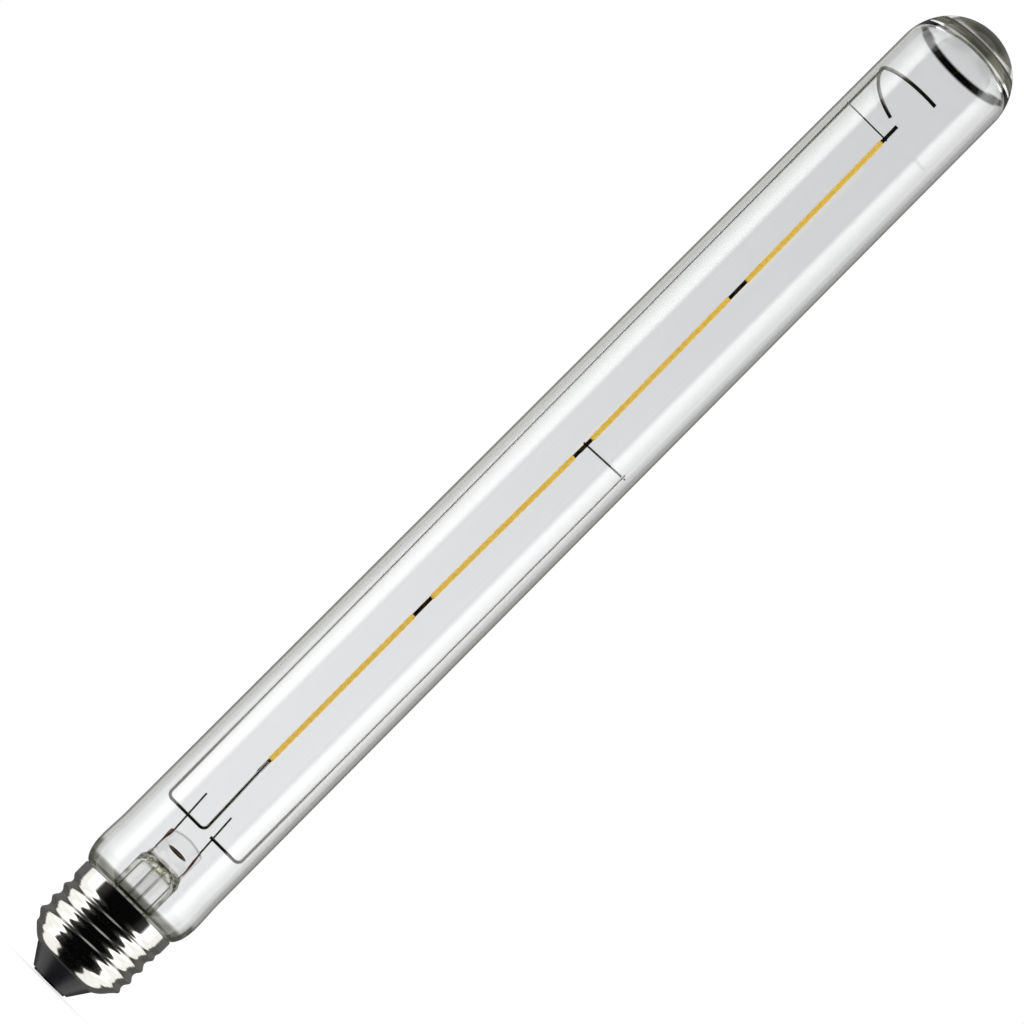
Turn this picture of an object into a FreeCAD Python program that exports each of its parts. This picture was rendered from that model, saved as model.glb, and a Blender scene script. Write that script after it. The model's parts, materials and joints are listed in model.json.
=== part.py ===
"""Tubular filament lamp with a screw cap.

Everything is in millimetres.  The origin is the middle of the flat face of the
end contact, +Z runs along the lamp from the cap to the dome, and the wire frame
that carries the filaments lies in planes parallel to XZ.
"""
import FreeCAD, Part
import math
import os

import Sketcher
from FreeCAD import Vector

# Driving dimensions, one alias for each size that can be set by itself.
DIMENSIONS = {
    # screw cap
    "contact_diameter": 9.2,
    "contact_rise": 0.45,
    "contact_edge_round": 0.2,
    "shank_diameter": 2.4,
    "shank_head_diameter": 3.8,
    "shank_head_height": 0.5,
    "insulator_face_diameter": 10.4,
    "insulator_foot_diameter": 16.8,
    "insulator_rise": 4.65,
    "insulator_floor_lift": 0.7,
    "seat_lift": 3.5,
    "seat_width": 1.3,
    "sheet": 0.3,
    "shoulder_rise": 3.1,
    "shoulder_top_diameter": 23.8,
    "thread_crest_diameter": 26.4,
    "thread_depth": 0.85,
    "thread_pitch": 3.629,
    "thread_length": 14.0,
    "thread_run_in": 1.8,
    "thread_run_out": 2.2,
    "thread_start_turn": 0.275,
    "collar_length": 3.1,
    "cement_thickness": 0.5,
    # glass envelope
    "tube_diameter": 29.5,
    "shoulder_diameter": 30.0,
    "glass_wall": 1.0,
    "end_wall": 6.0,
    "rim_gap": 0.15,
    "lip_radius": 0.75,
    "lip_land": 0.3,
    "swell_height": 6.0,
    "swell_fade": 6.5,
    "neck_clearance": 0.75,
    "neck_step": 1.6,
    "neck_end_drop": 10.3,
    "dome_clearance": 9.8,
    # glass stem
    "flange_thickness": 1.0,
    "flange_rim": 2.4,
    "stem_diameter": 11.5,
    "stem_wall": 0.8,
    "trumpet_height": 6.0,
    "stem_length": 19.4,
    "press_width": 9.6,
    "press_thickness": 3.2,
    "press_taper": 3.2,
    "press_length": 7.2,
    "press_crown": 1.1,
    "exhaust_diameter": 3.2,
    "exhaust_bore": 1.8,
    "exhaust_depth": 2.0,
    "exhaust_tip_drop": 2.5,
    "vent_width": 5.1,
    "vent_height": 0.55,
    "vent_lift": 3.0,
    # lead wires
    "lead_diameter": 0.48,
    "lead_spacing": 7.9,
    "lead_offset": -0.25,
    "lead_lean": 0.65,
    "lead_height": 10.0,
    "seal_depth": 1.4,
    "seal_length": 7.4,
    # wire frame
    "weld_gap": 0.01,
    "support_diameter": 0.75,
    "support_bend": 1.4,
    "cross_level": 3.6,
    "stalk_foot": 0.7,
    "stalk_height": 21.2,
    "rod_foot_clearance": 2.5,
    "rod_top_clearance": 0.65,
    "rod_above_filament": 12.9,
    "short_rod_clearance": 1.75,
    "short_rod_start": 2.7,
    "short_rod_beyond": 3.0,
    "middle_wire_diameter": 0.5,
    "middle_wire_start": -0.8,
    "middle_wire_beyond": 0.7,
    "middle_wire_lift": 0.75,
    "middle_wire_rise": 0.5,
    "top_wire_diameter": 0.38,
    "top_wire_lift": 1.2,
    "wire_end": 0.25,
    "arm_diameter": 0.7,
    "arm_wall_clearance": 0.5,
    "arm_drop_from_rod_end": 0.45,
    "arm_seat_gap": 0.08,
    "near_arm_end": 2.15,
    "far_arm_end": -3.35,
    "near_arm_tilt": 6.0,
    "far_arm_tilt": 11.4,
    # light-emitting filaments
    "filament_length": 46.35,
    "filament_gap": 5.75,
    "filament_diameter": 1.3,
    "filament_end_round": 0.35,
    "filament_overhang": 0.6,
    "substrate_width": 0.7,
    "substrate_thickness": 0.26,
    "substrate_inset": 1.2,
    "chip_width": 0.42,
    "chip_length": 0.9,
    "chip_height": 0.14,
    "chip_count": 20,
    "chip_margin": 1.4,
    "tab_width": 0.95,
    "tab_thickness": 0.25,
    "tab_reach": 3.9,
    "end_tab_reach": 5.3,
    "drift_foot": 0.0,
    "drift_first": -0.07,
    "drift_middle": 0.3,
    "drift_third": -0.22,
    "drift_top": -0.8,
    # driver in the cap
    "board_clearance": 2.2,
    "board_thickness": 1.0,
    "capacitor_diameter": 4.0,
    "capacitor_length": 7.0,
    "capacitor_offset": 5.0,
    "resistor_diameter": 2.0,
    "resistor_length": 5.5,
    "resistor_offset": 5.2,
    "package_length": 4.8,
    "package_width": 3.9,
    "package_height": 1.5,
    "package_offset": 4.0,
    "hookup_diameter": 0.5,
    "hookup_bend": 0.45,
    "hookup_end_gap": 0.04,
    "phase_wire_offset": 0.9,
}

HALF_ROOT = math.sqrt(0.5)

# Where the middle of a rounded edge lies, as shares of its run across and its rise.
SHOULDER_ROUND = (0.64, 0.42)
SWELL_ROUND = (0.68, 0.4)
SWELL_FADE_ROUND = (0.3, 0.45)
FLARE_INSIDE = (0.27, 0.26)
FLARE_OUTSIDE = (0.27, 0.34)

# How far the inner side of the swell lies in from the outer side, across and up, in walls.
MOUTH_INSET = (0.7, 0.7)
SWELL_INSET = (0.8, 0.4)

# Inside of the thick end: its heel, the turn to the flat part and the flat part, each as shares
# of the bore's radius and of the rise from the bore to the middle.
END_HEEL = (0.945, 0.504)
END_TURN = (0.781, 0.781)
END_FLAT = (0.504, 0.945)

# Grid of the rolled thread, and the tolerance that joins it to the collar and the shoulder.
THREAD_COLUMNS = 48
THREAD_ROWS_PER_TURN = 12
JOIN_TOLERANCE = 1e-3

doc = FreeCAD.newDocument("tubular_lamp")
pieces = []


class Size:
    """A size in millimetres with the expression that gives it from the sheet."""

    def __init__(self, text, value):
        self.text = text
        self.value = value

    @staticmethod
    def of(number):
        """Wrap a plain number, or hand back what is a Size already."""
        return number if isinstance(number, Size) else Size(repr(float(number)), float(number))

    def __add__(self, other):
        other = Size.of(other)
        return Size(f"({self.text} + {other.text})", self.value + other.value)

    def __sub__(self, other):
        other = Size.of(other)
        return Size(f"({self.text} - {other.text})", self.value - other.value)

    def __mul__(self, other):
        other = Size.of(other)
        return Size(f"({self.text} * {other.text})", self.value * other.value)

    def __truediv__(self, other):
        other = Size.of(other)
        return Size(f"({self.text} / {other.text})", self.value / other.value)

    def __neg__(self):
        return Size.of(0) - self

    __radd__ = __add__
    __rmul__ = __mul__

    def __rsub__(self, other):
        return Size.of(other) - self

    def root(self):
        """The square root."""
        return Size(f"sqrt({self.text})", math.sqrt(self.value))

    def tangent(self):
        """The tangent of an angle in degrees."""
        return Size(f"tan({self.text})", math.tan(math.radians(self.value)))

    def slant(self):
        """The angle in degrees that has this tangent."""
        return Size(f"atan({self.text})", math.degrees(math.atan(self.value)))


class Dimensions:
    """The driving dimensions, each kept in a cell of the sheet under its alias."""

    def __init__(self, table):
        sheet = doc.addObject("Spreadsheet::Sheet", "dims")
        for row, (alias, number) in enumerate(table.items(), start=1):
            sheet.set(f"A{row}", alias)
            sheet.set(f"B{row}", str(number))
            sheet.setAlias(f"B{row}", alias)
            setattr(self, alias, Size(f"dims.{alias}", float(number)))
        doc.recompute()


def bind(thing, name, size):
    """Bind one property of an object to the sheet."""
    thing.setExpression(name, Size.of(size).text)


def place(thing, x=0, y=0, z=0):
    """Bind the position of a piece to the sheet."""
    for axis, size in (("x", x), ("y", y), ("z", z)):
        if isinstance(size, Size):
            bind(thing, f"Placement.Base.{axis}", size)
    return thing


def turn(thing, axis, angle):
    """Turn a piece about an axis through its own origin by an angle bound to the sheet."""
    thing.Placement = FreeCAD.Placement(thing.Placement.Base, FreeCAD.Rotation(axis, Size.of(angle).value))
    bind(thing, "Placement.Rotation.Angle", angle)
    return thing


def keep(thing, label):
    """Name an object as one finished piece of the lamp."""
    thing.Label = label
    pieces.append(thing)
    return thing


def new_body(name):
    """A body to draw in."""
    return doc.addObject("PartDesign::Body", name)


def sketch_on(body, role, name, lift=None):
    """A sketch on one of the body's own origin planes, lifted along the plane's normal."""
    plane = next(item for item in body.Origin.OriginFeatures if item.Role == role)
    sketch = body.newObject("Sketcher::SketchObject", name)
    sketch.AttachmentSupport = [(plane, "")]
    sketch.MapMode = "FlatFace"
    if lift is not None:
        bind(sketch, "AttachmentOffset.Base.z", lift)
    return sketch


def pin(sketch, item, end, across, along):
    """Hold a point of a sketch at a place given by two sizes."""
    for kind, size in (("DistanceX", Size.of(across)), ("DistanceY", Size.of(along))):
        index = sketch.addConstraint(Sketcher.Constraint(kind, -1, 1, item, end, size.value))
        sketch.setExpression(f"Constraints[{index}]", size.text)


def outline(sketch, corners):
    """Draw a closed outline.  A corner is (across, along), with (across, along) of a via point
    after it where the edge that leads to it is an arc."""
    sizes = [tuple(Size.of(number) for number in corner) for corner in corners]
    spots = [Vector(corner[0].value, corner[1].value, 0) for corner in sizes]
    edges = []
    for index, corner in enumerate(sizes):
        start, end = spots[index - 1], spots[index]
        if len(corner) == 2:
            edges.append(sketch.addGeometry(Part.LineSegment(start, end), False))
        else:
            via = Vector(corner[2].value, corner[3].value, 0)
            edges.append(sketch.addGeometry(Part.Arc(start, via, end), False))
    for index, corner in enumerate(sizes):
        edge = edges[index]
        last = 2 if end_matches(sketch, edge, spots[index]) else 1
        after = edges[(index + 1) % len(edges)]
        first = 1 if end_matches(sketch, after, spots[index], 1) else 2
        sketch.addConstraint(Sketcher.Constraint("Coincident", edge, last, after, first))
        pin(sketch, edge, last, corner[0], corner[1])
        if len(corner) == 4:
            mark = sketch.addGeometry(Part.Point(Vector(corner[2].value, corner[3].value, 0)), True)
            pin(sketch, mark, 1, corner[2], corner[3])
            sketch.addConstraint(Sketcher.Constraint("PointOnObject", mark, 1, edge))


def end_matches(sketch, item, spot, end=2):
    """Whether the given end of a sketch edge lies at a spot."""
    return sketch.getPoint(item, end).distanceToPoint(spot) < 1e-6


def ring(sketch, radius, across=0, along=0):
    """Draw a circle."""
    across, along, radius = Size.of(across), Size.of(along), Size.of(radius)
    centre = Vector(across.value, along.value, 0)
    item = sketch.addGeometry(Part.Circle(centre, Vector(0, 0, 1), radius.value), False)
    pin(sketch, item, 3, across, along)
    index = sketch.addConstraint(Sketcher.Constraint("Radius", item, radius.value))
    bind(sketch, f"Constraints[{index}]", radius)


def oval(sketch, half_width, half_depth):
    """Draw an ellipse about the sketch's origin, long across."""
    wide, deep = Vector(half_width.value, 0, 0), Vector(0, half_depth.value, 0)
    item = sketch.addGeometry(Part.Ellipse(wide, deep, Vector(0, 0, 0)), False)
    sketch.exposeInternalGeometry(item)
    sketch.addConstraint(Sketcher.Constraint("Coincident", item, 3, -1, 1))
    major, minor = item + 1, item + 2
    sketch.addConstraint(Sketcher.Constraint("Horizontal", major))
    for axis, size in ((major, half_width * 2), (minor, half_depth * 2)):
        index = sketch.addConstraint(Sketcher.Constraint("Distance", axis, size.value))
        bind(sketch, f"Constraints[{index}]", size)


def revolve(body, corners, name="revolution", kind="PartDesign::Revolution"):
    """Turn an outline of (radius, height) corners about Z."""
    sketch = sketch_on(body, "XZ_Plane", name + "_profile")
    outline(sketch, corners)
    feature = body.newObject(kind, name)
    feature.Profile = sketch
    feature.ReferenceAxis = (sketch, ["V_Axis"])
    feature.Angle = 360.0
    return feature


def turned(label, corners):
    """A piece that is one turned shape."""
    body = new_body(label)
    revolve(body, corners)
    return keep(body, label)


def slab(body, x, y, z, name="block"):
    """Raise a rectangle between pairs of sizes along each axis."""
    sketch = sketch_on(body, "XY_Plane", name + "_profile", z[0])
    outline(sketch, [(x[0], y[0]), (x[1], y[0]), (x[1], y[1]), (x[0], y[1])])
    pad = body.newObject("PartDesign::Pad", name)
    pad.Profile = sketch
    bind(pad, "Length", Size.of(z[1]) - z[0])
    return pad


def follow(body, path, diameter, name="wire"):
    """Run a round section along a path sketch of the same body."""
    section = body.newObject("Sketcher::SketchObject", name + "_section")
    section.AttachmentSupport = [(path, "Edge1")]
    section.MapMode = "NormalToEdge"
    ring(section, diameter / 2)
    pipe = body.newObject("PartDesign::AdditivePipe", name)
    pipe.Profile = section
    pipe.Spine = (path, [])
    return pipe


def bent_wire(label, diameter, points, bend=None):
    """A round wire in a plane of constant Y through (x, z) points, rounded at its corners."""
    body = new_body(label)
    path = sketch_on(body, "XZ_Plane", "path")
    points = [(Size.of(x), Size.of(z)) for x, z in points]
    spots = [Vector(x.value, z.value, 0) for x, z in points]
    runs = [
        path.addGeometry(Part.LineSegment(start, end), False)
        for start, end in zip(spots, spots[1:])
    ]
    pin(path, runs[0], 1, *points[0])
    for index, run in enumerate(runs):
        pin(path, run, 2, *points[index + 1])
    for run, after in zip(runs, runs[1:]):
        path.addConstraint(Sketcher.Constraint("Coincident", run, 2, after, 1))
    for index in range(len(runs) - 1):
        corner = spots[index + 1]
        near = [corner + (spots[index + step] - corner).normalize() * bend.value for step in (0, 2)]
        path.fillet(runs[index], runs[index + 1], near[0], near[1], bend.value, True, True)
        arc = max(i for i, item in enumerate(path.Geometry) if isinstance(item, Part.ArcOfCircle))
        size = path.addConstraint(Sketcher.Constraint("Radius", arc, bend.value))
        bind(path, f"Constraints[{size}]", bend)
    follow(body, path, diameter)
    return keep(body, label)


def group(name, members):
    """Several pieces taken together as one cutting tool."""
    tool = doc.addObject("Part::Compound", name)
    tool.Links = members
    return tool


def cut(label, base, tool):
    """What is left of one shape when another is taken out of it."""
    result = doc.addObject("Part::Cut", label)
    result.Base = base
    result.Tool = tool
    return keep(result, label)


d = Dimensions(DIMENSIONS)

# Heights along the lamp, each worked out from the one below it.
insulator_top = d.contact_rise + d.insulator_rise
thread_start = insulator_top + d.shoulder_rise
thread_end = thread_start + d.thread_length
rim = thread_end + d.collar_length
floor = insulator_top + d.insulator_floor_lift
seat = insulator_top + d.seat_lift
board_top = seat + d.board_thickness
lip_top = rim + d.rim_gap
neck_top = lip_top - d.lip_radius
neck_end = rim - d.neck_end_drop
flange_base = neck_end - d.flange_thickness
stem_top = neck_end + d.stem_length
press_start = stem_top + d.press_taper
press_end = press_start + d.press_length
cross_height = press_end + d.cross_level
filament_start = cross_height + d.stalk_height + d.filament_overhang
filament_step = d.filament_length + d.filament_gap
filaments_end = filament_start + filament_step * 4 - d.filament_gap
rod_end = filaments_end + d.rod_above_filament
dome_start = rod_end + d.dome_clearance

# Radii of the cap and the glass.
crest = d.thread_crest_diameter / 2
root = crest - d.thread_depth
collar_bore = crest - d.sheet
neck = collar_bore - d.cement_thickness
neck_tip = root - d.sheet - d.neck_clearance
tube = d.tube_diameter / 2
bore = tube - d.glass_wall
swell = d.shoulder_diameter / 2

# Planes of the wires: each wire lies against the one before it.
lead_radius = d.lead_diameter / 2
support_radius = d.support_diameter / 2
long_wire_y = -(lead_radius + support_radius + d.weld_gap)
filament_y = long_wire_y + support_radius + d.weld_gap
middle_wire_y = filament_y + d.tab_thickness + d.middle_wire_diameter / 2 + d.weld_gap
short_wire_y = middle_wire_y - d.middle_wire_diameter / 2 - support_radius - d.weld_gap
second_lead_y = short_wire_y + support_radius + lead_radius + d.weld_gap
top_wire_y = filament_y + d.top_wire_diameter / 2 + d.weld_gap


def make_centre_contact():
    """Pressed disc with a shank that is headed over inside the insulator."""
    edge = d.contact_diameter / 2
    shank = d.shank_diameter / 2
    head = d.shank_head_diameter / 2
    soft = d.contact_edge_round
    turned("centre_contact", [
        (0, 0),
        (edge - soft, 0),
        (edge, soft, edge - soft * (1 - HALF_ROOT), soft * (1 - HALF_ROOT)),
        (edge, d.contact_rise),
        (shank, d.contact_rise),
        (shank, floor),
        (head, floor),
        (head, floor + d.shank_head_height),
        (0, floor + d.shank_head_height),
    ])


def make_cap_insulator():
    """Moulded plug with a conical outside and an inner ring that seats the board."""
    shank = d.shank_diameter / 2
    foot = d.insulator_foot_diameter / 2
    turned("cap_insulator", [
        (shank, d.contact_rise),
        (d.insulator_face_diameter / 2, d.contact_rise),
        (foot, insulator_top),
        (foot, seat),
        (foot - d.seat_width, seat),
        (foot - d.seat_width, floor),
        (shank, floor),
    ])


def smooth(share):
    """Ease from 0 to 1 with level ends."""
    share = min(max(share, 0.0), 1.0)
    return share * share * (3 - 2 * share)


def thread_radius(height, angle):
    """Outer radius of the rolled thread at a height above the shoulder and an angle in radians."""
    shoulder = d.shoulder_top_diameter.value / 2
    turns = height / d.thread_pitch.value - angle / (2 * math.pi) - d.thread_start_turn.value
    ridge = 0.5 + 0.5 * math.cos(2 * math.pi * turns)
    rise = smooth(height / d.thread_run_in.value)
    left = d.thread_length.value - height
    fall = smooth(left / d.thread_run_out.value)
    base = shoulder + (root.value - shoulder) * rise
    return base + d.thread_depth.value * (ridge * rise * fall + 1 - fall)


def thread_core(inset):
    """Solid inside one side of the threaded sheet, between level ends."""
    length = d.thread_length.value
    rows = max(8, round(THREAD_ROWS_PER_TURN * length / d.thread_pitch.value))
    grid = []
    for row in range(rows + 1):
        height = length * row / rows
        line = []
        for column in range(THREAD_COLUMNS + 1):
            angle = 2 * math.pi * (column % THREAD_COLUMNS) / THREAD_COLUMNS
            radius = thread_radius(height, angle) - inset
            line.append(Vector(
                radius * math.cos(angle), radius * math.sin(angle), thread_start.value + height
            ))
        grid.append(line)
    surface = Part.BSplineSurface()
    surface.interpolate(grid)
    side = surface.toShape()
    ends = [Part.Face(Part.Wire([edge])) for edge in side.Edges if edge.Closed]
    skin = Part.makeCompound([side] + ends)
    skin.sewShape()
    core = Part.makeSolid(skin.Shells[0])
    if core.Volume < 0:
        core.reverse()
    return core


def spot(radius, height):
    """A point of a profile in the XZ plane."""
    return Vector(Size.of(radius).value, 0, Size.of(height).value)


def shell_core(inset, depth):
    """Solid inside one side of the whole cap sheet, carried on past its ends by a depth."""
    foot = d.insulator_foot_diameter / 2
    shoulder = d.shoulder_top_diameter / 2
    base = insulator_top + inset
    lean = inset * HALF_ROOT
    across, up = SHOULDER_ROUND
    via = spot(
        foot + (shoulder - foot) * across - lean, insulator_top + d.shoulder_rise * up + lean
    )
    corners = [spot(0, thread_start), spot(0, base - depth), spot(foot, base - depth)]
    if depth.value > 0:
        corners.append(spot(foot, base))
    edges = [Part.makeLine(start, end) for start, end in zip(corners, corners[1:])]
    top = spot(shoulder - inset, thread_start)
    edges.append(Part.Arc(corners[-1], via, top).toShape())
    edges.append(Part.makeLine(top, corners[0]))
    bowl = Part.Face(Part.Wire(edges)).revolve(Vector(0, 0, 0), Vector(0, 0, 1), 360)
    collar = Part.makeCylinder(
        (crest - inset).value, (rim - thread_end + depth).value, spot(0, thread_end)
    )
    return thread_core(inset.value).multiFuse([bowl, collar], JOIN_TOLERANCE)


def make_cap_shell():
    """Thin sheet shell: a flange that holds the insulator, a rounded shoulder, a rolled thread
    that runs out into a plain collar, and an open rim."""
    shell = doc.addObject("Part::Feature", "cap_shell")
    outside = shell_core(Size.of(0), Size.of(0))
    shell.Shape = outside.cut(shell_core(d.sheet, d.sheet * 2)).Solids[0]
    keep(shell, "cap_shell")


def make_capping_cement():
    """Ring of cement between the collar and the glass neck."""
    turned("capping_cement", [
        (neck, thread_end), (collar_bore, thread_end), (collar_bore, neck_top), (neck, neck_top)
    ])


def make_glass_envelope():
    """Tube with a round dome, a swollen shoulder over the cap rim and a narrow neck inside it.
    The glass is thick in the middle of the dome, where the tube was closed."""
    wall = d.glass_wall
    rise = tube - d.end_wall
    lip = d.lip_radius
    step_foot = thread_end - d.neck_step
    mouth = neck + lip + d.lip_land
    swell_start = lip_top + d.swell_height
    swell_end = swell_start + d.swell_fade
    round_x = mouth + (swell - mouth) * SWELL_ROUND[0]
    round_z = lip_top + d.swell_height * SWELL_ROUND[1]
    fade_x = swell - (swell - tube) * SWELL_FADE_ROUND[0]
    fade_z = swell_start + d.swell_fade * SWELL_FADE_ROUND[1]
    turned("glass_envelope", [
        (neck_tip - wall, neck_end),
        (neck_tip, neck_end),
        (neck_tip, step_foot),
        (neck, thread_end),
        (neck, neck_top),
        (neck + lip, lip_top, neck + lip * (1 - HALF_ROOT), neck_top + lip * HALF_ROOT),
        (mouth, lip_top),
        (swell, swell_start, round_x, round_z),
        (tube, swell_end, fade_x, fade_z),
        (tube, dome_start),
        (0, dome_start + tube, tube * HALF_ROOT, dome_start + tube * HALF_ROOT),
        (0, dome_start + rise),
        (
            bore * END_TURN[0], dome_start + rise * END_TURN[1],
            bore * END_FLAT[0], dome_start + rise * END_FLAT[1],
        ),
        (bore, dome_start, bore * END_HEEL[0], dome_start + rise * END_HEEL[1]),
        (bore, swell_end),
        (swell - wall, swell_start, fade_x - wall, fade_z),
        (
            mouth - wall * MOUTH_INSET[0], lip_top + wall * MOUTH_INSET[1],
            round_x - wall * SWELL_INSET[0], round_z + wall * SWELL_INSET[1],
        ),
        (neck - wall, neck_top),
        (neck - wall, thread_end),
        (neck_tip - wall, step_foot),
    ])


def make_leads():
    """Two current leads, each an outer wire, a seal wire in the press and an inner wire."""
    seal_foot = press_start - d.seal_depth
    seal_top = seal_foot + d.seal_length
    inner_top = press_end + d.lead_height
    wires = []
    for name, side, y in (("a", -1, None), ("b", 1, second_lead_y)):
        x = d.lead_offset + d.lead_spacing * side / 2
        spans = {
            f"outer_lead_{name}": [(x, board_top), (x, seal_foot)],
            f"seal_wire_{name}": [(x, seal_foot), (x, seal_top)],
            f"inner_lead_{name}": [(x, seal_top + d.weld_gap * 2), (x - d.lead_lean, inner_top)],
        }
        for label, points in spans.items():
            wires.append(place(bent_wire(label, d.lead_diameter, points), y=y))
    return wires


def make_stem_glass(wires):
    """Flared tube that is pressed flat round the leads, with the vent of the exhaust tube."""
    radius = d.stem_diameter / 2
    inside = radius - d.stem_wall
    half_width = d.press_width / 2
    half_depth = d.press_thickness / 2
    exhaust = d.exhaust_diameter / 2
    vent = press_start + d.vent_lift
    trumpet_top = neck_end + d.trumpet_height
    body = new_body("stem_body")
    mouth = neck_tip - d.flange_rim
    waist = mouth + d.stem_wall / 2
    inner, outer = FLARE_INSIDE, FLARE_OUTSIDE
    revolve(body, [
        (
            mouth, flange_base,
            inside + (mouth - inside) * inner[0], neck_end + d.trumpet_height * inner[1],
        ),
        (neck_tip, flange_base),
        (neck_tip, neck_end),
        (waist, neck_end),
        (
            radius, trumpet_top,
            radius + (waist - radius) * outer[0], neck_end + d.trumpet_height * outer[1],
        ),
        (radius, stem_top),
        (0, stem_top),
        (0, stem_top - d.stem_wall),
        (inside, stem_top - d.stem_wall),
        (inside, trumpet_top),
    ])
    lower = sketch_on(body, "XY_Plane", "taper_start", stem_top)
    ring(lower, radius)
    upper = sketch_on(body, "XY_Plane", "taper_end", press_start)
    oval(upper, half_width, half_depth)
    taper = body.newObject("PartDesign::AdditiveLoft", "taper")
    taper.Profile = lower
    taper.Sections = [upper]
    front = sketch_on(body, "XZ_Plane", "press_front")
    outline(front, [
        (-half_width, press_start),
        (half_width, press_start),
        (half_width, press_end - d.press_crown),
        (-half_width, press_end - d.press_crown, 0, press_end),
    ])
    press = body.newObject("PartDesign::Pad", "press")
    press.Profile = front
    press.Midplane = True
    bind(press, "Length", d.press_thickness)
    bore_radius = d.exhaust_bore / 2
    revolve(body, [
        (0, stem_top - d.stem_wall * 2),
        (exhaust, stem_top - d.stem_wall * 2),
        (exhaust, stem_top + d.exhaust_depth),
        (bore_radius, stem_top + d.exhaust_depth),
        (bore_radius, vent),
        (0, vent),
    ], "exhaust_seat", "PartDesign::Groove")
    slot = sketch_on(body, "XZ_Plane", "vent_outline")
    outline(slot, [
        (d.vent_width / 2, vent, 0, vent - d.vent_height / 2),
        (-d.vent_width / 2, vent, 0, vent + d.vent_height / 2),
    ])
    opening = body.newObject("PartDesign::Pocket", "vent")
    opening.Profile = slot
    opening.Midplane = True
    bind(opening, "Length", d.press_thickness * 2)
    cut("stem_glass", body, group("lead_paths", wires))


def make_exhaust_tube():
    """Tube that was tipped off with a round end inside the cap."""
    outside = d.exhaust_diameter / 2
    inside = d.exhaust_bore / 2
    tip = flange_base - d.exhaust_tip_drop + d.flange_thickness
    top = stem_top + d.exhaust_depth
    start = tip + outside
    turned("exhaust_tube", [
        (0, tip),
        (outside, start, outside * HALF_ROOT, start - outside * HALF_ROOT),
        (outside, top),
        (inside, top),
        (inside, start),
        (0, start - inside, inside * HALF_ROOT, start - inside * HALF_ROOT),
    ])


def make_wire_frame():
    """Support wires that stand on the leads, the two cross wires and the centring arms."""
    rod_foot = bore - d.rod_foot_clearance - support_radius
    rod_top = bore - d.rod_top_clearance - support_radius
    short_rod = bore - d.short_rod_clearance - support_radius
    last = filament_start + filament_step * 2 - d.filament_overhang
    middle = last - d.tab_reach / 2 + d.middle_wire_lift
    top = filaments_end + d.top_wire_lift
    stalk_top = filament_start - d.filament_overhang
    place(bent_wire("long_support_wire", d.support_diameter, [
        (d.drift_foot, stalk_top),
        (d.stalk_foot, cross_height),
        (-rod_foot, cross_height),
        (-rod_top, rod_end),
    ], d.support_bend), y=long_wire_y)
    place(bent_wire("short_support_wire", d.support_diameter, [
        (d.short_rod_start, cross_height),
        (short_rod, cross_height),
        (short_rod, middle + d.short_rod_beyond),
    ], d.support_bend), y=short_wire_y)
    place(bent_wire("middle_cross_wire", d.middle_wire_diameter, [
        (d.drift_middle + d.middle_wire_start, middle - d.middle_wire_rise / 2),
        (short_rod + support_radius + d.middle_wire_beyond, middle + d.middle_wire_rise / 2),
    ]), y=middle_wire_y)
    place(bent_wire("top_cross_wire", d.top_wire_diameter, [
        (-rod_top - support_radius - d.wire_end / 2, top),
        (d.drift_top + d.tab_width / 2 + d.wire_end, top),
    ]), y=top_wire_y)


def make_centring_arm(label, side, reach, tilt):
    """Springy wire arm that curves along the glass from the end of the long rod."""
    radius = bore - d.arm_wall_clearance - d.arm_diameter / 2
    start = long_wire_y + side * (support_radius + d.arm_seat_gap)
    body = new_body(label)
    path = sketch_on(body, "XY_Plane", "path")
    begin = Vector(-math.sqrt(radius.value ** 2 - start.value ** 2), start.value, 0)
    end = Vector(reach.value, side * math.sqrt(radius.value ** 2 - reach.value ** 2), 0)
    via = (begin + end).normalize() * radius.value
    arc = path.addGeometry(Part.Arc(begin, via, end), False)
    first = 1 if end_matches(path, arc, begin, 1) else 2
    path.addConstraint(Sketcher.Constraint("Coincident", arc, 3, -1, 1))
    for kind, point, size in (("DistanceY", first, start), ("DistanceX", 3 - first, reach)):
        index = path.addConstraint(Sketcher.Constraint(kind, -1, 1, arc, point, size.value))
        bind(path, f"Constraints[{index}]", size)
    index = path.addConstraint(Sketcher.Constraint("Radius", arc, radius.value))
    bind(path, f"Constraints[{index}]", radius)
    follow(body, path, d.arm_diameter)
    slope = tilt.tangent() * HALF_ROOT
    turn(body, Vector(-side, 1, 0), tilt)
    place(body, z=rod_end - d.arm_drop_from_rod_end - slope * (radius + start * side))
    keep(body, label)


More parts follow.
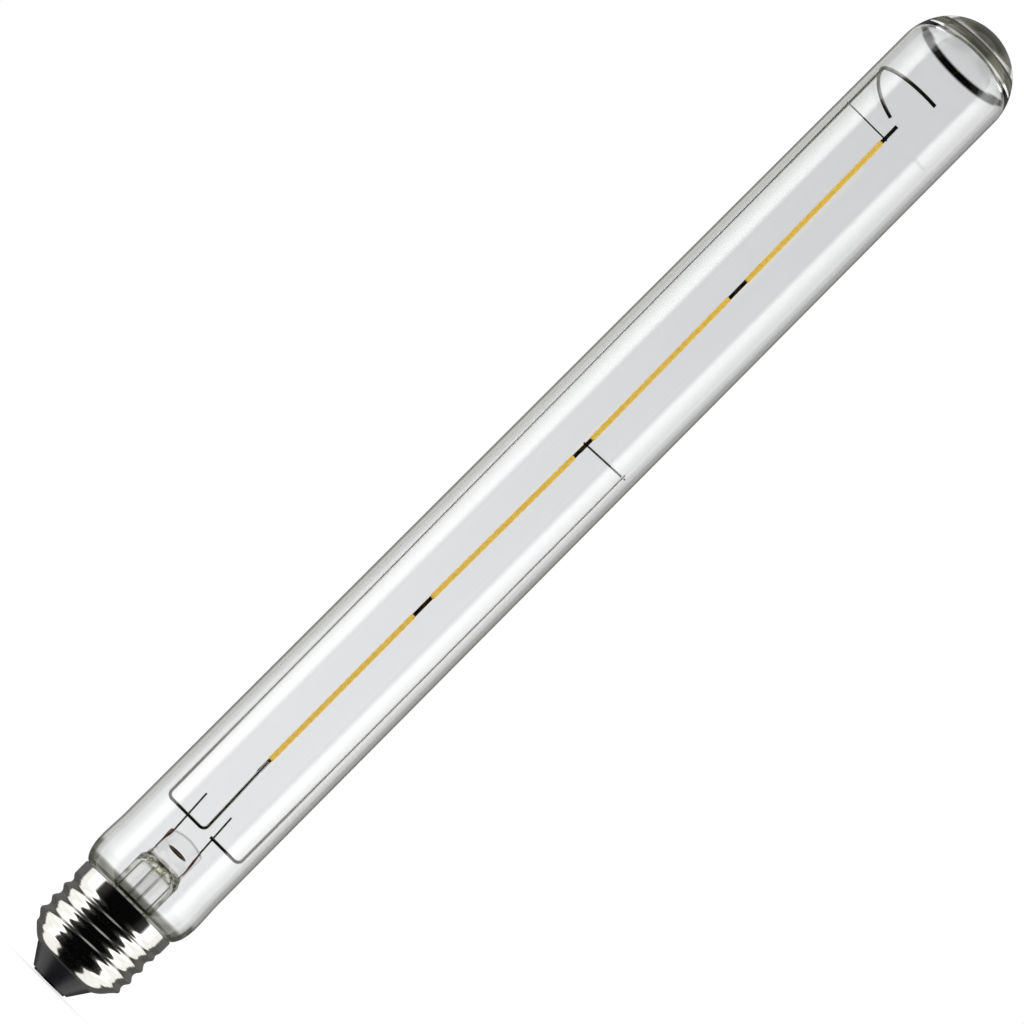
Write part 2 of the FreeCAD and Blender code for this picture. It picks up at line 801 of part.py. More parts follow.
def make_filament(number, foot, head, reach_up):
    """One filament: substrate with its chips and end tabs inside a phosphor coating."""
    start = filament_start + filament_step * (number - 1)
    lean = ((head - foot) / filament_step).slant()
    half_chip = d.chip_width / 2
    front = -d.substrate_thickness / 2
    inset = d.substrate_inset
    radius = d.filament_diameter / 2
    soft = d.filament_end_round
    length = d.filament_length

    def put(body, label=None):
        place(turn(body, Vector(0, 1, 0), lean), x=foot, y=filament_y, z=start)
        return keep(body, label) if label else body

    substrate = new_body(f"substrate_{number}")
    slab(
        substrate,
        (-d.substrate_width / 2, d.substrate_width / 2),
        (front, d.substrate_thickness / 2),
        (inset, length - inset),
    )
    chips = new_body(f"led_chips_{number}")
    chips.AllowCompound = True
    first = inset + d.chip_margin
    chip = slab(
        chips, (-half_chip, half_chip), (front - d.chip_height, front), (first, first + d.chip_length)
    )
    row = chips.newObject("PartDesign::LinearPattern", "chip_row")
    row.Originals = [chip]
    row.Direction = (chip.Profile[0], ["N_Axis"])
    bind(row, "Length", length - first * 2 - d.chip_length)
    bind(row, "Occurrences", d.chip_count)
    chips.Tip = row
    tabs = []
    for side, depth, span in (
        ("lower", (Size.of(0), d.tab_thickness), (-d.tab_reach, inset)),
        ("upper", (-d.tab_thickness, Size.of(0)), (length - inset, length + reach_up)),
    ):
        tab = new_body(f"{side}_tab_{number}")
        slab(tab, (-d.tab_width / 2, d.tab_width / 2), depth, span)
        tabs.append(put(tab, f"{side}_tab_{number}"))
    put(substrate, f"substrate_{number}")
    put(chips, f"led_chips_{number}")
    bar = new_body(f"phosphor_bar_{number}")
    revolve(bar, [
        (0, 0),
        (radius - soft, 0),
        (radius, soft, radius - soft * (1 - HALF_ROOT), soft * (1 - HALF_ROOT)),
        (radius, length - soft),
        (
            radius - soft, length,
            radius - soft * (1 - HALF_ROOT), length - soft * (1 - HALF_ROOT),
        ),
        (0, length),
    ])
    put(bar)
    cut(f"phosphor_{number}", bar, group(f"filament_core_{number}", [substrate, chips] + tabs))


def lying_cylinder(label, diameter, length, y):
    """A round component that lies on the board along X."""
    item = doc.addObject("Part::Cylinder", label)
    bind(item, "Radius", diameter / 2)
    bind(item, "Height", length)
    item.Placement = FreeCAD.Placement(Vector(0, 0, 0), FreeCAD.Rotation(Vector(0, 1, 0), 90))
    place(item, x=-length / 2, y=y, z=board_top + diameter / 2)
    keep(item, label)


def make_driver():
    """Small round board in the cap with the parts that feed the filaments."""
    inside = d.shoulder_top_diameter / 2 - d.board_clearance
    board = doc.addObject("Part::Cylinder", "driver_board")
    bind(board, "Radius", inside)
    bind(board, "Height", d.board_thickness)
    place(board, z=seat)
    keep(board, "driver_board")
    lying_cylinder("smoothing_capacitor", d.capacitor_diameter, d.capacitor_length, d.capacitor_offset)
    lying_cylinder("fuse_resistor", d.resistor_diameter, d.resistor_length, -d.resistor_offset)
    for label, side in (("rectifier", -1), ("driver_chip", 1)):
        package = new_body(label)
        middle = d.package_offset * side
        slab(
            package,
            (middle - d.package_width / 2, middle + d.package_width / 2),
            (-d.package_length / 2, d.package_length / 2),
            (seat - d.package_height, seat),
        )
        keep(package, label)
    head = floor + d.shank_head_height
    half_way = (head + seat) / 2
    bent_wire("phase_wire", d.hookup_diameter, [
        (0, head),
        (0, half_way - d.hookup_diameter / 4),
        (d.phase_wire_offset, half_way + d.hookup_diameter / 4),
        (d.phase_wire_offset, seat),
    ], d.hookup_bend)
    wire_height = board_top + d.hookup_diameter / 2
    bent_wire("neutral_wire", d.hookup_diameter, [
        (-inside + d.board_clearance, wire_height),
        (-(root - d.sheet - d.hookup_end_gap), wire_height),
    ])


def make_lamp():
    """Make every piece of the lamp, from the cap to the dome."""
    make_centre_contact()
    make_cap_insulator()
    make_cap_shell()
    make_capping_cement()
    make_driver()
    make_glass_envelope()
    wires = make_leads()
    make_stem_glass(wires)
    make_exhaust_tube()
    make_wire_frame()
    make_centring_arm("near_centring_arm", -1, d.near_arm_end, d.near_arm_tilt)
    make_centring_arm("far_centring_arm", 1, d.far_arm_end, d.far_arm_tilt)
    drifts = [d.drift_foot, d.drift_first, d.drift_middle, d.drift_third, d.drift_top]
    for number, (foot, head) in enumerate(zip(drifts, drifts[1:]), start=1):
        make_filament(number, foot, head, d.end_tab_reach if number == 4 else d.tab_reach)


def export_pieces():
    """Check every object, then write each piece to its own file."""
    doc.recompute()
    for thing in doc.Objects:
        if "Invalid" in thing.State or "Error" in thing.State:
            raise RuntimeError(f"{thing.Label} failed: {thing.State}")
    for piece in pieces:
        if piece.Shape.isNull() or not piece.Shape.isValid() or not piece.Shape.Solids:
            raise RuntimeError(f"{piece.Label} has no valid solid")
    os.makedirs("parts", exist_ok=True)
    for piece in pieces:
        piece.Shape.exportStep(os.path.join("parts", piece.Label + ".step"))
        box = piece.Shape.BoundBox
        print(f"{piece.Label}: {len(piece.Shape.Solids)} solid, {piece.Shape.Volume:.2f} mm3, "
              f"z {box.ZMin:.2f} to {box.ZMax:.2f}")


make_lamp()
export_pieces()
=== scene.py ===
"""Looks of a tubular filament lamp with a screw cap.

The fixed model is loaded first.  Glass, cap, wires and filaments are then made as finer
meshes in their places, and the pieces inside the cap keep their shape and get a finish.
Sizes are in millimetres unless a name says otherwise, and meshes are written in metres.
"""

import json
import logging
import math
from collections.abc import Callable
from dataclasses import dataclass, field
from enum import Enum

import bmesh
import bpy
from mathutils import Matrix, Quaternion, Vector

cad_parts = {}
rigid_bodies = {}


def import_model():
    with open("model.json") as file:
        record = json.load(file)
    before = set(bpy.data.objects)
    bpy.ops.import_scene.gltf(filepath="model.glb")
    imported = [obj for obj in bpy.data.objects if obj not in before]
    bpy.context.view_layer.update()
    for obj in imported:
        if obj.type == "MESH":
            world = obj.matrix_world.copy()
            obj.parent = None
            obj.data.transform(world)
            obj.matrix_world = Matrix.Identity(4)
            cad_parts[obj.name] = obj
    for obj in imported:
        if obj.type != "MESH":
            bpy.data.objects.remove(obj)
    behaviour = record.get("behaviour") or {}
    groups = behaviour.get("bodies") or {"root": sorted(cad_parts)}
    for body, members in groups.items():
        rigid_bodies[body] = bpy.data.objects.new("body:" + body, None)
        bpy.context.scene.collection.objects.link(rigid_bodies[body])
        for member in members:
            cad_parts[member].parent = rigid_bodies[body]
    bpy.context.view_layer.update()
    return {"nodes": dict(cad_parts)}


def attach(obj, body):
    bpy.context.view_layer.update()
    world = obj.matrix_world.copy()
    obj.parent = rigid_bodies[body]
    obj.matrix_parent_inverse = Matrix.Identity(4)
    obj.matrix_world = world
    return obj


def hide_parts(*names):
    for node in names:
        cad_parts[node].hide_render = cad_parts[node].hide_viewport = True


for leftover in list(bpy.data.objects):
    bpy.data.objects.remove(leftover)
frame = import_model()

log = logging.getLogger("lamp")
MM = 0.001
TURN = 2 * math.pi
QUARTER = math.pi / 2
# A rounded corner takes a little less than half of each of its sides
SIDE_PARTS = 2.1
# Angles in degrees past which an edge stays sharp
SHARP = 40.0
GLASS_SHARP = 60.0

Point2 = tuple[float, float]
Point3 = tuple[float, float, float]
Colour = tuple[float, float, float]
Sockets = dict[str, object]


class Slot(Enum):
    """The material slots of the lamp's record."""

    BULB_GLASS = "bulb_glass"
    STEM_GLASS = "stem_glass"
    CAP_NICKEL = "cap_nickel"
    CAP_INSULATOR = "cap_insulator"
    CONTACT = "contact"
    CEMENT = "cement"
    SUPPORT_WIRE = "support_wire"
    LEAD_WIRE = "lead_wire"
    SEAL_WIRE = "seal_wire"
    COPPER_WIRE = "copper_wire"
    PHOSPHOR = "phosphor"
    SUBSTRATE = "substrate"
    LED_CHIP = "led_chip"
    FILAMENT_TAB = "filament_tab"
    BOARD = "board"
    CAPACITOR_CAN = "capacitor_can"
    RESISTOR = "resistor"
    CHIP_PACKAGE = "chip_package"
    HOOKUP_WIRE = "hookup_wire"

    def material(self) -> bpy.types.Material:
        """The finished material of this slot."""
        return FINISHES[self].material(self.value + "_finish")


class Grain(Enum):
    """How the pattern of a finish runs over a piece."""

    EVEN = (1.0, 1.0, 1.0)
    ROUND_THE_AXIS = (1.0, 1.0, 9.0)
    ALONG_THE_AXIS = (6.0, 6.0, 0.5)


# Shader and geometry maths


def operation(kind: str, flipped: bool = False) -> Callable[..., "Signal"]:
    """Make a method of a signal that adds one node of maths.

    Args:
        kind: What the node works out.
        flipped: Whether the signal comes after the other value.

    Returns:
        The method.
    """
    def method(self: "Signal", *others: "Signal | float") -> "Signal":
        """Work out the signal with the other values."""
        return self.graph.math(kind, *((*others, self) if flipped else (self, *others)))

    return method


class Signal:
    """A socket that takes part in Python expressions."""

    def __init__(self, graph: "Graph", socket: bpy.types.NodeSocket) -> None:
        """Wrap one output socket of a graph."""
        self.graph = graph
        self.socket = socket

    __add__ = operation("ADD")
    __radd__ = operation("ADD", True)
    __sub__ = operation("SUBTRACT")
    __rsub__ = operation("SUBTRACT", True)
    __mul__ = operation("MULTIPLY")
    __rmul__ = operation("MULTIPLY", True)
    __truediv__ = operation("DIVIDE")
    __abs__ = operation("ABSOLUTE")
    cosine = operation("COSINE")
    above = operation("GREATER_THAN")
    larger = operation("MAXIMUM")

    def eased(self, low: "Signal | float", high: "Signal | float") -> "Signal":
        """Ease from 0 at one value to 1 at another, with level ends."""
        return self.graph.out(
            "ShaderNodeMapRange", "Result", {"interpolation_type": "SMOOTHSTEP"},
            {"Value": self, "From Min": low, "From Max": high},
        )


class Graph:
    """A node tree that is filled from Python expressions."""

    def __init__(self, tree: bpy.types.NodeTree) -> None:
        """Take over a tree, emptied of its nodes."""
        self.tree = tree
        tree.nodes.clear()

    def add(
        self, kind: str, settings: Sockets | None = None, inputs: dict | None = None
    ) -> bpy.types.Node:
        """Add a node.

        Args:
            kind: Type name of the node.
            settings: Properties to set first.
            inputs: Values or links of its sockets, by name or by number.

        Returns:
            The new node.
        """
        node = self.tree.nodes.new(kind)
        for name, value in (settings or {}).items():
            setattr(node, name, value)
        for name, value in (inputs or {}).items():
            socket = node.inputs[name]
            if isinstance(value, Signal):
                self.tree.links.new(value.socket, socket)
            else:
                socket.default_value = value
        return node

    def out(
        self, kind: str, socket: str | int, settings: Sockets | None = None,
        inputs: dict | None = None,
    ) -> Signal:
        """Add a node and give one of its outputs, by name or by number."""
        return Signal(self, self.add(kind, settings, inputs).outputs[socket])

    def math(self, operation: str, *values: "Signal | float") -> Signal:
        """Add a Math node for one operation on up to three values."""
        return self.out(
            "ShaderNodeMath", 0, {"operation": operation}, dict(enumerate(values))
        )

    def mix(self, share: "Signal | float", first: object, second: object) -> Signal:
        """Blend two colours.

        Args:
            share: 0 gives the first colour and 1 the second.
            first: Colour or link.
            second: Colour or link.

        Returns:
            The blended colour.
        """
        sides = [
            side if isinstance(side, Signal) else (*side, 1.0) for side in (first, second)
        ]
        return self.out(
            "ShaderNodeMix", 2, {"data_type": "RGBA"}, {0: share, 6: sides[0], 7: sides[1]}
        )

    def split(self, vector: Signal) -> tuple[Signal, Signal, Signal]:
        """The three parts of a vector."""
        node = self.add("ShaderNodeSeparateXYZ", None, {0: vector})
        return tuple(Signal(self, socket) for socket in node.outputs)

    def join(self, x: "Signal | float", y: "Signal | float", z: "Signal | float") -> Signal:
        """A vector from three parts."""
        return self.out("ShaderNodeCombineXYZ", 0, None, {0: x, 1: y, 2: z})

    def object_place(self) -> Signal:
        """Place of a point in the piece's own coordinates."""
        return self.out("ShaderNodeTexCoord", "Object")

    def height(self) -> Signal:
        """Height of a point in the piece's own coordinates."""
        return self.split(self.object_place())[2]

    def length(self, x: Signal, y: Signal) -> Signal:
        """Length of a flat vector."""
        return self.math("SQRT", x * x + y * y)

    def noise(
        self, place: Signal, scale: float, detail: float = 3.0, seed: "Signal | float" = 0.0
    ) -> Signal:
        """Soft random value from 0 to 1.

        Args:
            place: Where to read the pattern.
            scale: Features for each metre.
            detail: How many finer layers are added.
            seed: Shifts the pattern.

        Returns:
            The value.
        """
        return self.out(
            "ShaderNodeTexNoise", 0, {"noise_dimensions": "4D"},
            {"Vector": place, "W": seed, "Scale": scale, "Detail": detail},
        )


@dataclass(frozen=True)
class Ramp:
    """A share that eases from 0 at one value to its full strength at another."""

    low: float
    high: float
    full: float = 1.0

    def on(self, value: Signal) -> Signal:
        """The share at a value."""
        return value.eased(self.low, self.high) * self.full

    def off(self, value: Signal) -> Signal:
        """What is left of 1 at a value."""
        return 1 - self.on(value)


# Finishes


@dataclass(frozen=True)
class Finish:
    """A surface finish made from two colours, a grain and fine relief."""

    colour: Colour
    second: Colour
    grain: Grain = Grain.EVEN
    scale: float = 400.0
    roughness: float = 0.4
    roughness_swing: float = 0.1
    metallic: float = 0.0
    relief: float = 0.05
    relief_scale: float = 1500.0
    relief_height: float = 0.00002
    detail: float = 3.0
    gloss_scale: float = 1.7
    constants: tuple[tuple[str, float], ...] = ()

    def material(self, label: str) -> bpy.types.Material:
        """Build the material, or hand back the one that was built before.

        Args:
            label: Name of the material.

        Returns:
            The material.
        """
        known = bpy.data.materials.get(label)
        if known is not None:
            return known
        made = bpy.data.materials.new(label)
        made.use_nodes = True
        graph = Graph(made.node_tree)
        place = self.place(graph)
        shader = graph.out("ShaderNodeBsdfPrincipled", 0, None, {
            "Base Color": self.paint(graph, place),
            "Roughness": self.gloss(graph, place),
            "Metallic": self.metallic,
            "Normal": self.bump(graph, place),
            **self.extra(graph),
            **dict(self.constants),
        })
        graph.add("ShaderNodeOutputMaterial", None, {"Surface": shader})
        return made

    def place(self, graph: Graph) -> Signal:
        """Where the pattern is read: the piece's own coordinates, stretched along the grain."""
        stretch = {"Vector": graph.object_place(), "Scale": self.grain.value}
        return graph.out("ShaderNodeMapping", 0, None, stretch)

    def paint(self, graph: Graph, place: Signal) -> Signal:
        """Colour over the surface."""
        return graph.mix(graph.noise(place, self.scale, self.detail), self.colour, self.second)

    def extra(self, graph: Graph) -> Sockets:
        """Sockets that only one finish needs."""
        return {}

    def gloss(self, graph: Graph, place: Signal) -> Signal | float:
        """Roughness over the surface.

        Args:
            graph: Node tree of the material.
            place: Where the pattern is read.

        Returns:
            The roughness, a plain number where it is even.
        """
        if not self.roughness_swing:
            return self.roughness
        swing = graph.noise(place, self.scale * self.gloss_scale, seed=2.0) - 0.5
        return swing * (2 * self.roughness_swing) + self.roughness

    def bump(self, graph: Graph, place: Signal) -> Signal:
        """Fine relief over the surface."""
        height = graph.noise(place, self.relief_scale, 4.0, 5.0)
        return graph.out(
            "ShaderNodeBump", 0, None,
            {"Strength": self.relief, "Distance": self.relief_height, "Height": height},
        )


@dataclass(frozen=True)
class ZonedFinish(Finish):
    """A finish that has another colour over one stretch of the lamp's height, in metres."""

    zone: Colour = (0.5, 0.5, 0.5)
    start: Ramp = Ramp(-0.2, -0.1)
    end: Ramp = Ramp(0.9, 1.0)

    def paint(self, graph: Graph, place: Signal) -> Signal:
        """The plain colour, with that of the zone blended in."""
        share = self.start.on(graph.height()) * self.end.off(graph.height())
        return graph.mix(share, super().paint(graph, place), self.zone)


@dataclass(frozen=True)
class WorkedGlass(Finish):
    """Glass pressed hot, olive where creased, with painted shade: grey on the press's top edge and dark
    brown round the blow hole.
    """

    crease_height: float = 0.0363
    crease: Ramp = Ramp(0.0002, 0.0019)
    crease_scale: float = 4.0
    crease_swing: float = 0.0012
    # Painted shade: near-black brown on the glass round the blow hole
    hole_height: float = 0.0406
    hole_half: Point2 = (0.0026, 0.0005)
    hole: Ramp = Ramp(0.8, 1.15)
    hole_shade_colour: Colour = (0.03, 0.018, 0.008)
    # Painted shade: grey over the rounded top edge of the press
    rim: Ramp = Ramp(0.0441, 0.0445)
    edge_shade_drop: float = 47.0
    edge_shade_colour: Colour = (0.55, 0.55, 0.52)
    thin_start: Ramp = Ramp(0.0362, 0.0368)
    thin_end: Ramp = Ramp(0.0378, 0.0382)
    thin: float = 0.62

    def paint(self, graph: Graph, place: Signal) -> Signal:
        """Clear glass with the olive crease, and painted shade: grey on the top edge and dark brown
        round the hole.

        Args:
            graph: Node tree of the material.
            place: Where the pattern is read.

        Returns:
            The colour.
        """
        x, _, z = graph.split(graph.object_place())
        uneven = (graph.noise(place, self.scale * self.crease_scale) - 0.5) * self.crease_swing
        across, along = x / self.hole_half[0], (z - self.hole_height) / self.hole_half[1]
        creased = self.crease.off(abs(z + uneven - self.crease_height))
        clear = graph.mix(creased, self.colour, self.second)
        # Painted shade: grey over the top edge of the press, then near-black brown round the blow hole
        edge_shaded = graph.mix(self.rim.on(z + x * x * self.edge_shade_drop), clear, self.edge_shade_colour)
        return graph.mix(self.hole.off(across * across + along * along), edge_shaded, self.hole_shade_colour)

    def extra(self, graph: Graph) -> Sockets:
        """Clearer glass where the tube closes into the press."""
        share = self.thin_start.on(graph.height()) * self.thin_end.off(graph.height())
        return {"Alpha": 1 - share * self.thin}


@dataclass(frozen=True)
class BrightSheet(Finish):
    """Bright plated sheet with faint turning marks and dull specks."""

    mark_scale: float = 2.5
    speck_scale: float = 6.0
    speck: Ramp = Ramp(0.66, 0.8, 0.06)

    def gloss(self, graph: Graph, place: Signal) -> Signal:
        """Roughness with soft specks where the plating is dull.

        Args:
            graph: Node tree of the material.
            place: Where the pattern is read.

        Returns:
            The roughness.
        """
        marks = graph.noise(place, self.scale * self.mark_scale, 4.0, 3.0) * self.roughness_swing
        specks = graph.noise(place, self.scale * self.speck_scale, 2.0, 9.0)
        return marks + self.roughness + self.speck.on(specks)


@dataclass(frozen=True)
class PhosphorCoat(Finish):
    """Yellow coating, a little deeper over the rows of chips."""

    pitch: float = 0.00212
    band: float = 0.08
    mottle: float = 0.3
    depth: float = 0.42

    def paint(self, graph: Graph, place: Signal) -> Signal:
        """Mottled yellow with faint bands over the chips.

        Args:
            graph: Node tree of the material.
            place: Where the pattern is read.

        Returns:
            The colour.
        """
        band = (graph.split(place)[2] * (TURN / self.pitch)).cosine() * self.band + self.depth
        mottle = graph.noise(place, self.scale) * self.mottle
        return graph.mix(band + mottle, self.colour, self.second)


@dataclass(frozen=True)
class BandedBody(Finish):
    """Small component with painted rings across its length."""

    pitch: float = 0.0011
    ring: Ramp = Ramp(0.55, 0.7)

    def paint(self, graph: Graph, place: Signal) -> Signal:
        """Body colour with rings of the second colour."""
        along = graph.split(place)[0] * (TURN / self.pitch)
        return graph.mix(self.ring.on(along.cosine()), self.colour, self.second)


# Grain and scale that every drawn wire shares
DRAWN = (Grain.ALONG_THE_AXIS, 900.0)
TRANSPARENT = ("Transmission Weight", 1.0)

FINISHES: dict[Slot, Finish] = {
    # On the bulb glass the zone is painted shade: glass below about 28 mm is grey, standing in for the
    # darker light that the curving neck bends in
    Slot.BULB_GLASS: ZonedFinish(
        (0.985, 0.99, 0.985), (0.975, 0.98, 0.975), scale=40.0, roughness=0.0,
        roughness_swing=0.0, relief=0.02, relief_scale=60.0, detail=1.0,
        constants=(TRANSPARENT, ("IOR", 1.5)), zone=(0.44, 0.44, 0.41), end=Ramp(0.0274, 0.0287),
    ),
    Slot.STEM_GLASS: WorkedGlass(
        (0.995, 0.995, 0.99), (0.8, 0.79, 0.6), scale=150.0, roughness=0.03,
        roughness_swing=0.02, relief=0.1, relief_scale=260.0, relief_height=0.0001,
        constants=(TRANSPARENT, ("IOR", 1.38)),
    ),
    Slot.CAP_NICKEL: BrightSheet(
        (0.66, 0.65, 0.61), (0.58, 0.57, 0.53), Grain.ROUND_THE_AXIS, 260.0, 0.1, 0.04, 1.0,
        0.03, 2200.0,
    ),
    Slot.CAP_INSULATOR: Finish(
        (0.005, 0.0045, 0.006), (0.008, 0.0075, 0.01), scale=700.0, roughness=0.36,
        roughness_swing=0.08, relief=0.12, relief_scale=3000.0,
        constants=(("Specular IOR Level", 0.35),),
    ),
    Slot.CONTACT: Finish(
        (0.11, 0.1, 0.09), (0.07, 0.06, 0.055), Grain.ROUND_THE_AXIS, 500.0, 0.35, 0.1, 1.0, 0.1,
    ),
    Slot.CEMENT: Finish(
        (0.42, 0.4, 0.26), (0.33, 0.32, 0.2), scale=900.0, roughness=0.85, relief=0.5,
        relief_scale=2500.0, relief_height=0.00008,
    ),
    Slot.SUPPORT_WIRE: ZonedFinish(
        (0.3, 0.27, 0.23), (0.2, 0.18, 0.15), *DRAWN, 0.3, 0.08, 1.0, 0.12,
        zone=(0.74, 0.73, 0.7), start=Ramp(0.053, 0.085), end=Ramp(0.235, 0.282),
    ),
    Slot.LEAD_WIRE: Finish(
        (0.24, 0.23, 0.22), (0.15, 0.145, 0.14), *DRAWN, 0.28, 0.08, 1.0, 0.12,
    ),
    Slot.SEAL_WIRE: Finish(
        (0.2, 0.085, 0.06), (0.12, 0.05, 0.04), Grain.ALONG_THE_AXIS, 1200.0, 0.4, 0.1, 0.4, 0.15,
    ),
    Slot.COPPER_WIRE: Finish(
        (0.46, 0.42, 0.37), (0.36, 0.32, 0.28), *DRAWN, 0.3, 0.1, 0.5, 0.1,
    ),
    Slot.PHOSPHOR: PhosphorCoat(
        (0.92, 0.66, 0.11), (0.82, 0.5, 0.06), scale=900.0, roughness=0.42,
        roughness_swing=0.08, relief=0.25, relief_scale=1800.0, relief_height=0.00006,
        constants=(("Subsurface Weight", 0.15), ("Subsurface Scale", 0.0003)),
    ),
    Slot.SUBSTRATE: Finish(
        (0.8, 0.8, 0.76), (0.7, 0.7, 0.66), scale=1200.0, roughness=0.5, relief=0.1,
    ),
    Slot.LED_CHIP: Finish(
        (0.2, 0.35, 0.45), (0.1, 0.22, 0.35), scale=1500.0, roughness=0.15, metallic=0.3,
    ),
    Slot.FILAMENT_TAB: ZonedFinish(
        (0.3, 0.29, 0.27), (0.3, 0.29, 0.27), *DRAWN, 0.28, 0.08, 1.0, 0.15,
        zone=(0.34, 0.13, 0.06), start=Ramp(0.1735, 0.1742), end=Ramp(0.17565, 0.1758),
    ),
    Slot.BOARD: Finish(
        (0.03, 0.16, 0.06), (0.02, 0.11, 0.045), scale=900.0, relief=0.2, relief_scale=2600.0,
    ),
    Slot.CAPACITOR_CAN: BandedBody(
        (0.05, 0.06, 0.09), (0.5, 0.5, 0.48), scale=500.0, roughness=0.3, pitch=0.0068,
    ),
    Slot.RESISTOR: BandedBody(
        (0.55, 0.42, 0.26), (0.25, 0.07, 0.03), scale=500.0, roughness=0.45, relief=0.1,
    ),
    Slot.CHIP_PACKAGE: Finish(
        (0.02, 0.02, 0.022), (0.03, 0.03, 0.032), scale=1400.0, roughness=0.6, relief=0.3,
        relief_scale=4000.0,
    ),
    Slot.HOOKUP_WIRE: Finish(
        (0.6, 0.58, 0.55), (0.45, 0.43, 0.4), *DRAWN, 0.3, 0.1, 1.0, 0.1,
    ),
}


# Shapes


@dataclass
class Skin:
    """Corners and faces of a mesh in millimetres."""

    corners: list[Point3] = field(default_factory=list)
    faces: list[tuple[int, ...]] = field(default_factory=list)

    def add_loops(self, loops: list[list[Point3]]) -> "Skin":
        """Join a run of loops of corners with a band of faces between each pair.

        Args:
            loops: Loops of equal length, or of one corner where the skin closes.

        Returns:
            The skin itself.
        """
        starts = []
        for loop in loops:
            starts.append(len(self.corners))
            self.corners.extend(loop)
        for index in range(len(loops) - 1):
            below, above = starts[index], starts[index + 1]
            few, many = len(loops[index]), len(loops[index + 1])
            count = max(few, many)
            for step in range(count):
                after = (step + 1) % count
                if few == 1:
                    self.faces.append((below, above + after, above + step))
                elif many == 1:
                    self.faces.append((below + step, below + after, above))
                else:
                    self.faces.append(
                        (below + step, below + after, above + after, above + step)
                    )
        return self

    def mesh(self, name: str, crease: float = SHARP) -> bpy.types.Mesh:
        """Write the skin as a mesh in metres with its faces turned outwards.

        Args:
            name: Name of the mesh.
            crease: Angle in degrees past which an edge stays sharp.

        Returns:
            The mesh.
        """
        made = bpy.data.meshes.new(name)
        made.from_pydata(in_metres(self.corners), [], self.faces)
        tidy_mesh(made)
        return shaded(made, crease)


def in_metres(points: list[Point3]) -> list[Point3]:
    """Points in metres from points in millimetres."""
    return [tuple(MM * part for part in point) for point in points]


def shaded(made: bpy.types.Mesh, crease: float) -> bpy.types.Mesh:
    """Shade a mesh smooth, apart from its sharp edges.

    Args:
        made: The mesh.
        crease: Angle in degrees past which an edge stays sharp.

    Returns:
        The same mesh.
    """
    made.polygons.foreach_set("use_smooth", [True] * len(made.polygons))
    made.set_sharp_from_angle(angle=math.radians(crease))
    return made


def tidy_mesh(made: bpy.types.Mesh) -> None:
    """Merge doubled corners and turn faces outwards.

    Args:
        made: Mesh to mend.
    """
    shape = bmesh.new()
    shape.from_mesh(made)
    bmesh.ops.remove_doubles(shape, verts=shape.verts, dist=1e-8)
    bmesh.ops.recalc_face_normals(shape, faces=shape.faces)
    shape.to_mesh(made)
    shape.free()


def lathe(profile: list[Point2], segments: int, closed: bool = False) -> Skin:
    """Turn a profile about Z.

    Args:
        profile: Radius and height of each point.  A radius of 0 closes the skin.
        segments: Corners round the axis.
        closed: Whether the last point joins the first.

    Returns:
        The turned skin.
    """
    ends = profile[:1] if closed else []
    return Skin().add_loops([
        circle(radius, height, segments) if radius > 1e-6 else [(0.0, 0.0, height)]
        for radius, height in profile + ends
    ])


def circle(radius: float, height: float, count: int) -> list[Point3]:
    """Corners of a level circle round the axis."""
    angles = [TURN * step / count for step in range(count)]
    return [(radius * math.cos(angle), radius * math.sin(angle), height) for angle in angles]


def arc(centre: Point2, radius: float, first: float, last: float, count: int) -> list[Point2]:
    """Points of an arc.

    Args:
        centre: Middle of its circle.
        radius: Radius of its circle.
        first: Angle of its first point in radians.
        last: Angle of its last point in radians.
        count: Pieces of the arc.

    Returns:
        The points, both ends included.
    """
    angles = [first + (last - first) * step / count for step in range(count + 1)]
    return [
        (centre[0] + radius * math.cos(angle), centre[1] + radius * math.sin(angle))
        for angle in angles
    ]


def smooth_line(points: list[Point2], steps: int) -> list[Point2]:
    """A smooth line through points, which keeps them all.

    Args:
        points: Points to pass through.
        steps: Pieces for each span.

    Returns:
        The points of the line.
    """
    line = []
    for index in range(len(points) - 1):
        before = points[max(index - 1, 0)]
        start, end = points[index], points[index + 1]
        after = points[min(index + 2, len(points) - 1)]
        for step in range(steps):
            share = step / steps
            line.append(tuple(
                0.5 * (
                    2 * b + (c - a) * share + (2 * a - 5 * b + 4 * c - d) * share ** 2
                    + (3 * b - a - 3 * c + d) * share ** 3
                )
                for a, b, c, d in zip(before, start, end, after)
            ))
    line.append(points[-1])
    return line


def softened(points: list[Point2], radius: float, steps: int = 4) -> list[Point2]:
    """Round the corners of an open line.

    Args:
        points: Corners of the line, its ends kept as they are.
        radius: Run of each rounding along its two sides.
        steps: Pieces in each rounding.

    Returns:
        The points of the rounded line.
    """
    line = [points[0]]
    for before, corner, after in zip(points, points[1:], points[2:]):
        here = Vector(corner)
        sides = [Vector(before) - here, Vector(after) - here]
        run = min(radius, *(side.length / SIDE_PARTS for side in sides))
        start, end = (here + side.normalized() * run for side in sides)
        for step in range(steps + 1):
            share = step / steps
            bent = start.lerp(here, share).lerp(here.lerp(end, share), share)
            line.append(tuple(bent))
    line.append(points[-1])
    return line


def put(name: str, data: bpy.types.ID) -> bpy.types.Object:
    """Put a new object in the scene.

    Args:
        name: Name of the object.
        data: What it shows.

    Returns:
        The object.
    """
    made = bpy.data.objects.new(name, data)
    bpy.context.scene.collection.objects.link(made)
    return made


def worked_mesh(name: str, item: bpy.types.Object) -> bpy.types.Mesh:
    """Plain mesh of an object with its modifier run, for which the object is given up.

    Args:
        name: Name of the mesh.
        item: The object.

    Returns:
        The mesh.
    """
    depsgraph = bpy.context.evaluated_depsgraph_get()
    made = bpy.data.meshes.new_from_object(item.evaluated_get(depsgraph))
    made.name = name
    item.modifiers.clear()
    bpy.data.objects.remove(item)
    return made


